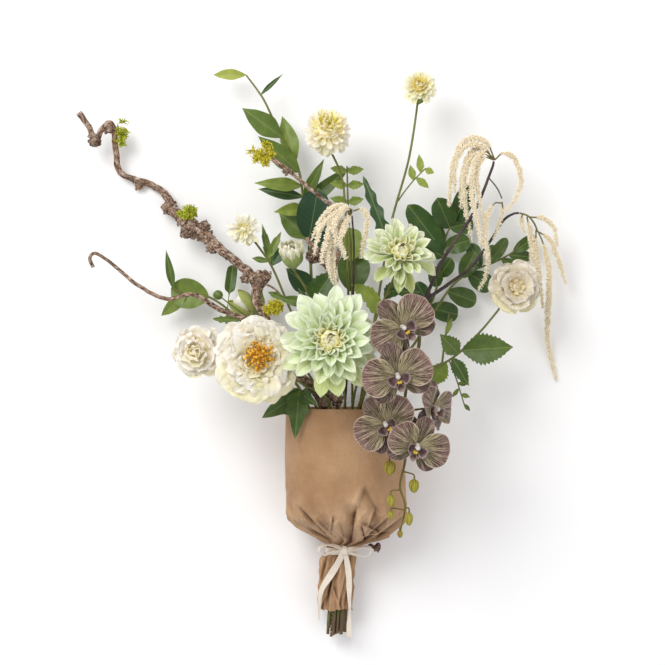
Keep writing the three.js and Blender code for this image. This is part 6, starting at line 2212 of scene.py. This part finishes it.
# ---- Leafy stems -------------------------------------------------------------------------------------
SPRAYS = (
    Spray("broad_leaf_spray", (-1, -1.732), ((314, 310, 30), (309, 235, 38), (303, 195, 44), (297, 165, 50),
                                             (279, 132, 52), (266, 104, 50), (258, 91, 48), (246, 75, 44)), (
        Leaf((247, 76), (213, 75, 34), 16, tone=0.92, bow=0.16),
        Leaf((260, 94), (283, 74, 52), 7, tone=0.25, bow=0.12),
        Leaf((281, 138), (242, 108, 56), 32, tone=0.5), Leaf((297, 160), (282, 116, 38), 26, tone=0.62),
        Leaf((299, 172), (258, 136, 72), 30, tone=0.52),
        Leaf((301, 184), (254, 183, 64), 20, tone=0.7, bow=0.14),
        Leaf((303, 197), (258, 189, 36), 18, tone=0.22), Leaf((304, 200), (324, 159, 66), 17, tone=0.5),
        Leaf((306, 205), (350, 167, 42), 21, tone=0.42), Leaf((309, 238), (318, 188, 76), 47, ROUND, 0.04),
        Leaf((304, 208), (274, 212, 56), 19, tone=0.78), Leaf((308, 238), (279, 213, 30), 31, tone=0.5),
        Leaf((311, 262), (334, 226, 40), 35, tone=0.05), Leaf((313, 292), (286, 268, 40), 31, tone=0.15),
    ), 0.09),
    Spray("round_leaf_spray", (1, -1.732), ((400, 345, 22), (430, 305, 22), (441, 268, 24), (446, 236, 28),
                                            (461, 212, 34)), (
        Leaf((444, 252), (408, 205, 44), 35, ROUND, 0.25), Leaf((450, 226), (437, 198, 56), 34, ROUND, 0.27),
        Leaf((457, 222), (471, 184, 50), 28, ROUND, 0.27), Leaf((446, 240), (424, 222, 26), 25, ROUND, 0.32),
        Leaf((450, 228), (473, 222, 22), 29, ROUND, 0.3), Leaf((443, 258), (423, 242, 30), 25, ROUND, 0.25),
        Leaf((444, 250), (470, 240, 26), 27, ROUND, 0.34), Leaf((436, 286), (434, 266, 40), 21, ROUND, 0.3),
        Leaf((440, 276), (452, 258, 40), 24, ROUND, 0.3), Leaf((430, 305), (416, 282, 24), 21, ROUND, 0.2),
        Leaf((428, 308), (458, 315, 10), 29, ROUND, 0.3),
    ), 0.04),
    Spray("arching_leaf_spray", (1.5, -0.866), ((410, 350, 44), (438, 306, 40), (453, 285, 36),
                                                (472, 271, 32), (495, 262, 32), (513, 252, 34),
                                                (520, 243, 36)), (
        Leaf((462, 277), (475, 252, 36), 26, ROUND, 0.35), Leaf((447, 290), (476, 302, 24), 28, ROUND, 0.35),
        Leaf((466, 273), (492, 288, 22), 29, ROUND, 0.3), Leaf((480, 267), (470, 244, 14), 21, ROUND, 0.3),
        Leaf((488, 265), (507, 238, 40), 18, ROUND, 0.4), Leaf((498, 261), (488, 246, 20), 17, ROUND, 0.35),
        Leaf((513, 252), (536, 237, 26), 18, ROUND, 0.35), Leaf((507, 255), (531, 257, 22), 17, ROUND, 0.35),
        Leaf((500, 259), (523, 271, 24), 16, ROUND, 0.4),
    ), 0.08, (2.2, 2.2, 2.2, 2, 1.8, 1.6, 1.4, 1.2, 1.1), "light_leaf"),
    Spray("paired_leaf_sprig", (0, -1.732), ((352, 310, 44), (348, 204, 60), (347, 166, 64)), (
        *(Leaf((347, py + down), (px, py + down - 3, height), 13, tone=0.7, teeth=5)
          for i, py in enumerate((167, 182, 197))
          for down, px, height in ((4, 330, 64 + i), (5, 364, 64 - i))),
        Leaf((350, 262), (351, 228, 46), 36, ROUND, 0.72), Leaf((351, 292), (355, 253, 36), 46, ROUND, 0.42),
    ), 0.12, (2.5, 2.5, 2, 1.4, 1.1), "light_leaf"),
    Spray("left_leaf_spray", (-2.5, -0.866), ((270, 352, 44), (240, 320, 40), (211, 298, 38), (186, 294, 40),
                                              (171, 288, 42)), (
        Leaf((172, 289), (166, 250, 48), 12, tone=0.4), Leaf((210, 298), (171, 291, 30), 43, ROUND, 0.6),
        Leaf((186, 295), (161, 316, 24), 19, tone=0.65),
        Leaf((228, 310), (233, 265, 30), 16, Form.PADDLE, 0.35),
        Leaf((240, 320), (213, 319, 24), 15, Form.LOBED, 0.55, wave=1.2),
        Leaf((262, 342), (236, 338, 16), 31, Form.LOBED, 0.5), Leaf((250, 330), (262, 290, 20), 27, tone=0.6),
    ), 0.02),
    Spray("ivy_spray", (-2.5, 0.866), ((304, 398, 118), (299, 391, 128)), (
        Leaf((301, 391), (262, 418, 118), 38, Form.IVY, 0.35),
        Leaf((301, 391), (295, 439, 134), 34, Form.IVY, 0.35),
        Leaf((303, 396), (272, 396, 106), 25, Form.IVY, 0.45),
        Leaf((300, 392), (318, 406, 146), 21, Form.IVY, 0.3),
    ), 0.12, (2.5, 2.5, 2, 1.8)),
)


# ---- Wrap and tape -----------------------------------------------------------------------------------
SHRINK = 0.6  # how far inside the outline that was measured the paper's middle runs


@dataclass(frozen=True)
class Fold:
    """A crease in the front of the wrap, from one pixel to another: how deep it is, and its two slopes."""

    start: tuple[float, float]
    end: tuple[float, float]
    depth: float
    steep: float = 1.6
    gentle: float = 9.0


@dataclass(frozen=True)
class PaperWrap:
    """The kraft paper wrap: a tube that rests on its back, gathered at the neck.

    Attributes:
        rows: from its lower edge to its rim: the row's pixel, the middle and half width in pixels, the
            height of the middle, the half height, and how deep its gathers are.
        folds: creases in its front.
        knobs: crumpled paper scraps at the gathers, dark brown as painted shade: the spot, length and radius.
        paper: its thickness.
        around: points round it.
        steps: rows of points along it.
        places: how its rows of points are shared out, as shares of their number and pixels.
        calm: the pixel round which it is only gently uneven.
        pleats: how many gathers go round its neck.
    """

    rows: tuple[tuple[float, ...], ...] = (
        (609, 335.5, 16.5, 30, 20, 3.4), (588, 336, 17.3, 33, 19.5, 3.4), (566, 337.5, 17, 37, 20, 3.2),
        (557.5, 337.6, 18, 38, 18.5, 2.6),
        (550.7, 341.5, 14.4, 39, 17.6, 0.8), (544.5, 344, 16.5, 40, 18.5, 2.4), (541, 351, 27, 44, 27, 8),
        (537, 351.5, 33, 49, 36, 10),
        (529, 348, 46, 59, 54, 8), (520, 347, 58.5, 68, 67, 5), (500, 346.5, 60, 71, 75, 1.2),
        (455, 344, 59, 71, 76.5, 0), (410, 344, 57.5, 71, 75.5, 0), (408, 344, 57.4, 71, 75.4, 0),
    )
    folds: tuple[Fold, ...] = (
        Fold((299, 507), (331, 541), 15, 11, 0.8), Fold((290, 520), (326, 541), 7, 8, 1.0),
        Fold((333, 516), (331, 532), 7, 0.8, 6),
        Fold((356.5, 506), (352, 540), 17, 9, 0.7), Fold((366, 486), (357, 512), 5, 3.0, 9),
        Fold((364, 488), (377, 510), 4.5, 9, 2.0),
        Fold((361, 524), (365, 540), 15, 3.0, 0.8), Fold((359, 522), (378, 533), 7, 1.0, 6),
        Fold((376, 508), (368, 530), 6, 1.0, 8),
        Fold((340, 522), (344, 541), 7, 4, 0.8), Fold((389, 517), (368, 538), 8, 1.0, 7),
        Fold((403, 518), (374, 541), 6, 1.0, 8),
        Fold((318, 520), (337, 541), 7, 4, 0.9), Fold((312, 532), (330, 541), 7, 3, 0.8),
        Fold((390, 534), (360, 541), 7, 0.8, 4),
        Fold((334, 566), (327, 600), 5, 0.8, 4), Fold((347, 570), (340, 602), 4.5, 0.8, 5),
        Fold((328, 556), (322, 580), 5, 3, 0.8),
        Fold((340, 556), (322, 608), 4.5, 0.7, 4), Fold((350, 556), (346, 606), 6, 4, 0.7),
        Fold((333, 585), (341, 609), 4, 0.8, 3),
    )
    knobs: tuple[tuple[Spot, float, float], ...] = (((377.3, 548, 44), 10, 6.0),
                                                    ((371.5, 546.5, 44), 12, 3.4))
    paper: float = 0.5
    around: int = 264
    steps: int = 184
    places: tuple[tuple[float, ...], ...] = ((0, 0.16, 0.3, 0.74, 1), (609, 563, 541, 492, 408))
    calm: float = 470.0
    pleats: float = 13.0

    def stations(self) -> list[Array]:
        """The pixel of each row of points, and what the table says there, smoothed.

        Returns:
            The pixels, then one array for each column of the table.
        """
        table = np.array(self.rows)[::-1]
        where = np.interp(np.linspace(0, 1, self.steps), *self.places)
        reach = 14
        soft = np.exp(-((np.arange(-reach, reach + 1) / 3.2) ** 2))
        read = [np.pad(np.interp(where, table[:, 0], table[:, k]), reach, "edge") for k in range(1, 6)]
        return [where[:, None], *(np.convolve(v, soft / soft.sum(), "valid")[:, None] for v in read)]

    def make(self, finishes: Paints) -> None:
        """Makes the wrap as one thin sheet with two faces.

        Args:
            finishes: every finish, by its name.
        """
        where, px, half, height, depth, gather = self.stations()
        angle = np.linspace(0, 2 * np.pi, self.around, endpoint=False)[None, :]
        angle = angle + 0.45 * np.cos(angle)  # more of them in front, where the folds are
        spun = np.stack(np.broadcast_arrays(np.cos(angle) * 2.2, np.sin(angle) * 2.2, where / 24), axis=-1)
        # The gathers are sharp pleats that wander, with smaller ones between them.
        warp = angle + 0.22 * noise(spun, 1.0, 3) + 0.1 * noise(spun, 0.4, 4)
        pleat = 1 - 2 * np.abs(np.sin(warp * self.pleats / 2 + 0.6))
        small = 1 - 2 * np.abs(noise(spun, 0.5, 9))
        swell = gather * (0.75 * pleat + 0.5 * small) - gather * 0.35
        swell = swell + 0.9 * np.exp(-(((where - self.calm) / 70) ** 2)) * noise(spun, 1.4, 12) - SHRINK
        middle = np.stack([spot(at) for at in np.hstack([px, where, height])])[:, None]
        points = middle + np.stack([
            np.cos(angle) * (half * MM_PER_PX + swell), np.zeros(swell.shape), np.sin(angle) * (depth + swell)
        ], axis=-1)
        points, worn, deep = self.fold(points, np.sin(angle))
        # The paper is worn on the crests, and painted shade darkens its valleys.
        crease = np.clip(pleat, 0, 1) ** 3 * np.clip(gather / 6, 0, 1) * 0.7
        crease = crease + np.clip(small, 0, 1) ** 4 * np.clip(gather / 5, 0, 1) * 0.5
        crease = np.clip(crease + worn, 0, 1)
        deep = deep + np.clip(-pleat, 0, 1) ** 2 * np.clip(gather / 7, 0, 1) * 0.5
        # Its lower edge is ragged.
        points[..., 1] -= np.clip((where - 600) / 9, 0, 1) * 3.0 * noise(spun, 0.5, 15)
        points[..., 2] = np.maximum(points[..., 2], 2 * LOWEST)
        normal = unit(np.cross(
            np.roll(points, -1, axis=1) - np.roll(points, 1, axis=1), np.gradient(points, axis=0)
        ))
        facing = np.sign((normal[..., 0] * np.cos(angle) + normal[..., 2] * np.sin(angle)).mean())
        inner = points - normal * self.paper * facing
        inner[..., 2] = np.maximum(inner[..., 2], 2 * LOWEST + self.paper)
        loop = np.concatenate([points, inner[::-1]]).reshape(-1, 3)
        rows = 2 * self.steps
        faces = np.concatenate([grid_faces(rows, self.around, closed=True), seam(rows, self.around)])
        a, b, _, d = loop[faces[0]]
        if np.cross(b - a, d - a) @ (a - middle[0, 0]) < 0:
            faces = faces[:, ::-1]
        gathered = np.broadcast_to(np.clip(gather / 7, 0.06, 1), crease.shape)
        mood = np.stack([np.clip(deep, 0, 1), crease, gathered], axis=-1)
        mood = np.concatenate([mood, mood[::-1]]).reshape(-1, 3)
        skin = Skin()
        skin.add(loop, [faces], (0, 0, 1), (0, 0, 0), mood)
        # The knobs are crumpled paper in painted shade, finished dark brown.
        for at, length, radius in self.knobs:
            add_ball(skin, spot(at), vec(1, -0.3, 0.1), length, radius, 1, sides=22, rough=0.5, grain=4,
                     seed=radius)
        skin.piece("paper_wrap_sheet", [finishes["kraft_paper"], finishes["knob"]], "paper_wrap",
                   "kraft_paper", 40)

    def fold(self, points: Array, up: Array) -> tuple[Array, Array, Array]:
        """Presses the folds into the front.

        Args:
            points: the sheet's points.
            up: how far each faces up, from -1 to 1.

        Returns:
            The points, how creased each is and how deep in a fold.
        """
        worn, deep = np.zeros((2, *points.shape[:2]))
        front = np.clip((up + 0.05) / 0.3, 0, 1)
        for fold in self.folds:
            height = 130 if fold.start[1] < TIE[1] else 50  # about how high the front is there
            start, end = spot((*fold.start, height))[:2], spot((*fold.end, height))[:2]
            length = np.linalg.norm(end - start)
            run = (end - start) / length
            off = points[..., :2] - start
            far = (off @ run) / length
            aside = off @ np.array([-run[1], run[0]])
            fade = np.clip(far * 3 + 0.25, 0, 1) * np.clip((1.25 - far) * 3, 0, 1) * front
            slope = np.where(aside > 0, np.exp(-aside / fold.gentle), np.exp(aside / fold.steep))
            ridge = np.exp(-(((aside + fold.steep * 2.2) / (fold.steep * 1.3)) ** 2))
            points[..., 2] += (0.3 * ridge - slope) * fold.depth * fade
            worn += ridge * fade * 0.8
            deep += slope**1.6 * fade * min(fold.depth / 10, 1)
        return points, worn, deep


@dataclass(frozen=True)
class TapeBow:
    """The cotton tape: its band round the neck, a knot, two loops and two tails.

    Attributes:
        loops: the line of each loop.
        tails: and of each tail.
        widths: how wide each tail looks along its line.
        loop_widths: and a loop.
        neck: the middle of the band round the neck.
        girth: its half sizes.
        knot: the middle of the knot.
        thick: the tape's thickness.
        columns: points across it.
    """

    loops: tuple[tuple[Spot, ...], ...] = (
        ((344.5, 550, 63), (334, 545.5, 67), (324, 545, 71), (318.6, 550, 71), (323, 555, 66),
         (333, 552.5, 64), (344.5, 551, 62.5)),
        ((344.5, 550, 63), (356, 548.5, 68), (366, 546.5, 71), (371.5, 550, 71), (367, 556.5, 66),
         (357, 555.5, 64), (344.5, 551, 62.5)),
    )
    tails: tuple[tuple[Spot, ...], ...] = (
        ((344, 551, 63), (338, 563, 61), (330, 576, 58), (322, 589, 56), (319.5, 603, 53.5), (319, 620, 45)),
        ((345, 551, 63), (347, 562, 61), (349, 578, 57), (349.3, 597, 54), (349.8, 610, 52), (349, 625, 49),
         (349.5, 637, 46)),
    )
    widths: tuple[tuple[float, ...], ...] = ((8, 10, 10, 9, 6, 4, 2), (6, 8, 9, 8, 5, 3.5, 7, 9))
    loop_widths: tuple[float, ...] = (6, 8, 8.5, 7, 8, 7, 5)
    neck: Spot = (341.5, 550.5, 39)
    girth: Spot = (22.95, 1, 20.2)
    knot: Spot = (344.5, 550.5, 63.3)
    thick: float = 0.7
    columns: int = 7

    def strap(self, skin: Skin, line: Array, facing: Array, width: Array | float, seed: float,
              closed: bool = False) -> None:
        """Adds tape along a line, flat to the direction given at each point, a little rumpled.

        Args:
            skin: where it goes.
            line: its points.
            facing: the way that its face is turned, at each.
            width: its width, the same all along or one for each point.
            seed: how it is rumpled.
            closed: whether its ends meet.
        """
        ahead = np.gradient(line, axis=0)
        if closed:
            ahead = np.roll(line, -1, axis=0) - np.roll(line, 1, axis=0)
        side = unit(np.cross(unit(ahead), facing))
        out = np.cross(side, unit(ahead))[:, None]
        s = np.linspace(-1, 1, self.columns)
        far = along(line)
        track = np.outer(far, (1, 0, 0))
        bends, waves = noise(track, 9, seed)[:, None], noise(track, 6, seed + 2)[:, None]
        rumple = bends * 0.7 * s + 0.35 * np.cos(s * 3) * waves
        wide = np.broadcast_to(np.asarray(width, float), len(line))[:, None]
        sheet = line[:, None] + side[:, None] * (s * wide / 2)[..., None] + out * rumple[..., None]
        half = out * self.thick / 2
        ring = np.concatenate([sheet + half, (sheet - half)[:, ::-1]], axis=1)
        rows, around = ring.shape[:2]
        caps = [seam(rows, around)]
        if not closed:
            k, last = np.arange(self.columns - 1), (rows - 1) * around
            caps = [np.stack([k, around - 1 - k, around - 2 - k, k + 1], axis=1),
                    last + np.stack([k, k + 1, around - 2 - k, around - 1 - k], axis=1)]
        across = np.concatenate([s, s[::-1]]) * wide / 2
        flat = np.stack(np.broadcast_arrays(across, far[:, None], 0.0), axis=-1)
        faces = [grid_faces(rows, around, closed=True), *caps]
        skin.add(ring.reshape(-1, 3), faces, (0, 0, 1), flat.reshape(-1, 3), (0.5, 0, 0))

    def hoop(self, skin: Skin, middle: Array, sizes: Spot, count: int, width: float, seed: float,
             upright: bool = False) -> None:
        """Adds a closed band of tape round a middle, lengthwise to the bundle if it is upright.

        Args:
            skin: where it goes.
            middle: its middle.
            sizes: its half sizes.
            count: how many points round it.
            width: the tape's width.
            seed: how it is rumpled.
            upright: whether it is lengthwise.
        """
        angle = np.linspace(0, 2 * np.pi, count, endpoint=False)
        around = [np.cos(angle), 0 * angle]
        outward = np.stack([*(around[::-1] if upright else around), np.sin(angle)], axis=1)
        self.strap(skin, middle + outward * sizes, outward, width, seed, closed=True)

    def make(self, finishes: Paints) -> None:
        """Makes the tape.

        Args:
            finishes: every finish, by its name.
        """
        skin = Skin()
        self.hoop(skin, spot(self.neck), self.girth, 72, TAPE_WIDTH, 1)
        for i, route in enumerate(self.loops):
            line = course(route, 10, 2.0)
            out = line - line.mean(axis=0)
            out[:, 2] = 0.35 * np.linalg.norm(out[:, :2], axis=1)
            self.strap(skin, line, unit(out), spread(self.loop_widths, len(line)), 5 + i)
        for i, route in enumerate(self.tails):
            line = course(route, 10, 2.0)
            lean = np.stack([0.5 * np.sin(along(line) / 12 + i), 0 * line[:, 0], np.ones(len(line))], axis=1)
            self.strap(skin, line, unit(lean), spread(self.widths[i], len(line)), 9 + i)
        knot = spot(self.knot)
        add_ball(skin, knot, vec(0.2, 1, 0), 12, 5.2, sides=20, rough=0.1, grain=5)
        self.hoop(skin, knot, (1, 6.6, 5.2), 30, 6.0, 14, upright=True)  # the turn over the knot
        skin.piece("tape_bow_ribbon", [finishes["cotton_tape"]], "tape_bow", "cotton_tape", 70)


# ---- Studio ------------------------------------------------------------------------------------------
@dataclass(frozen=True)
class Studio:
    """A pale floor, soft light from above and the view straight down.

    Attributes:
        floor: the floor's colour.
        key: the power of the main light, in watts.
        fill: and of the one that softens its shadows.
        sky: how bright the surroundings are.
        tint: their colour.
        cloud: the colour of faint patches of the floor.
        half: half the floor's side, in metres.
        below: how far under the bouquet the floor is, in metres.
    """

    floor: str = "#fbfaf8"
    key: float = 58.0
    fill: float = 10.0
    sky: float = 0.68
    tint: str = "#fbfbff"
    cloud: str = "#f3f2f0"
    half: float = 12.0
    below: float = 0.0004

    def light(self, name: str, at: Spot, size: float, power: float) -> None:
        """Adds a soft light that points at the bouquet.

        Args:
            name: its name.
            at: where it is, in metres.
            size: how wide it is, in metres.
            power: how bright it is, in watts.
        """
        lamp = bpy.data.lights.new(name, "AREA")
        lamp.shape, lamp.size, lamp.energy = "DISK", size, power
        made = bpy.data.objects.new(name, lamp)
        made.location = at
        made.rotation_euler = (Vector((0, 0.2, 0)) - Vector(at)).to_track_quat("-Z", "Y").to_euler()
        bpy.context.scene.collection.objects.link(made)

    def make(self) -> None:
        """Makes the floor, the lights and the camera."""
        mesh = bpy.data.meshes.new("floor")
        corners = ((-1, -1), (1, -1), (1, 1), (-1, 1))
        mesh.from_pydata([(x * self.half, y * self.half, -self.below) for x, y in corners], [],
                         [(0, 1, 2, 3)])
        floor = bpy.data.objects.new("floor", mesh)
        bpy.context.scene.collection.objects.link(floor)
        p = Paint("floor")
        mesh.materials.append(p.done(p.mix(p.noise(p.place(), 3.0, 2.0) * 0.08, self.floor, self.cloud), 0.9))
        self.light("key", at=(-1.3, 1.6, 2.5), size=1.8, power=self.key)
        self.light("fill", at=(1.6, -0.6, 2.2), size=2.0, power=self.fill)
        world = bpy.data.worlds.new("studio")
        world.use_nodes = True
        back = world.node_tree.nodes["Background"].inputs
        back["Color"].default_value, back["Strength"].default_value = hue(self.tint), self.sky
        scene = bpy.context.scene
        scene.world = world
        scene.view_settings.view_transform = "Standard"
        lens = bpy.data.cameras.new("camera")
        lens.sensor_width, lens.lens = SENSOR, SENSOR * EYE_HEIGHT / (2 * VIEW_MIDDLE * MM_PER_PX)
        camera = bpy.data.objects.new("camera", lens)
        camera.location = spot((VIEW_MIDDLE, VIEW_MIDDLE, EYE_HEIGHT)) / MM_PER_M
        scene.collection.objects.link(camera)
        scene.camera = camera


def main() -> None:
    """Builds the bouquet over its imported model."""
    logging.basicConfig(level=logging.INFO, format="%(message)s")
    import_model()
    Studio().make()
    finishes = {finish.name: finish.make() for finish in FINISHES}
    shop = Workshop()
    PaperWrap().make(finishes)
    TapeBow().make(finishes)
    for bloom in blooms():
        bloom.make(shop, finishes)
    make_stamens(shop, finishes)
    OrchidSpray().make(finishes)
    for part in (TOP_TASSELS, LOW_TASSELS, RIGHT_TASSELS, MIDDLE_TASSELS, *BRANCHES, *LICHENS):
        part.make(shop, finishes)
    for part in (*DARK_STEMS, *SPRAYS):
        part.make(finishes)
    shop.clear()


if __name__ == "__main__":
    main()
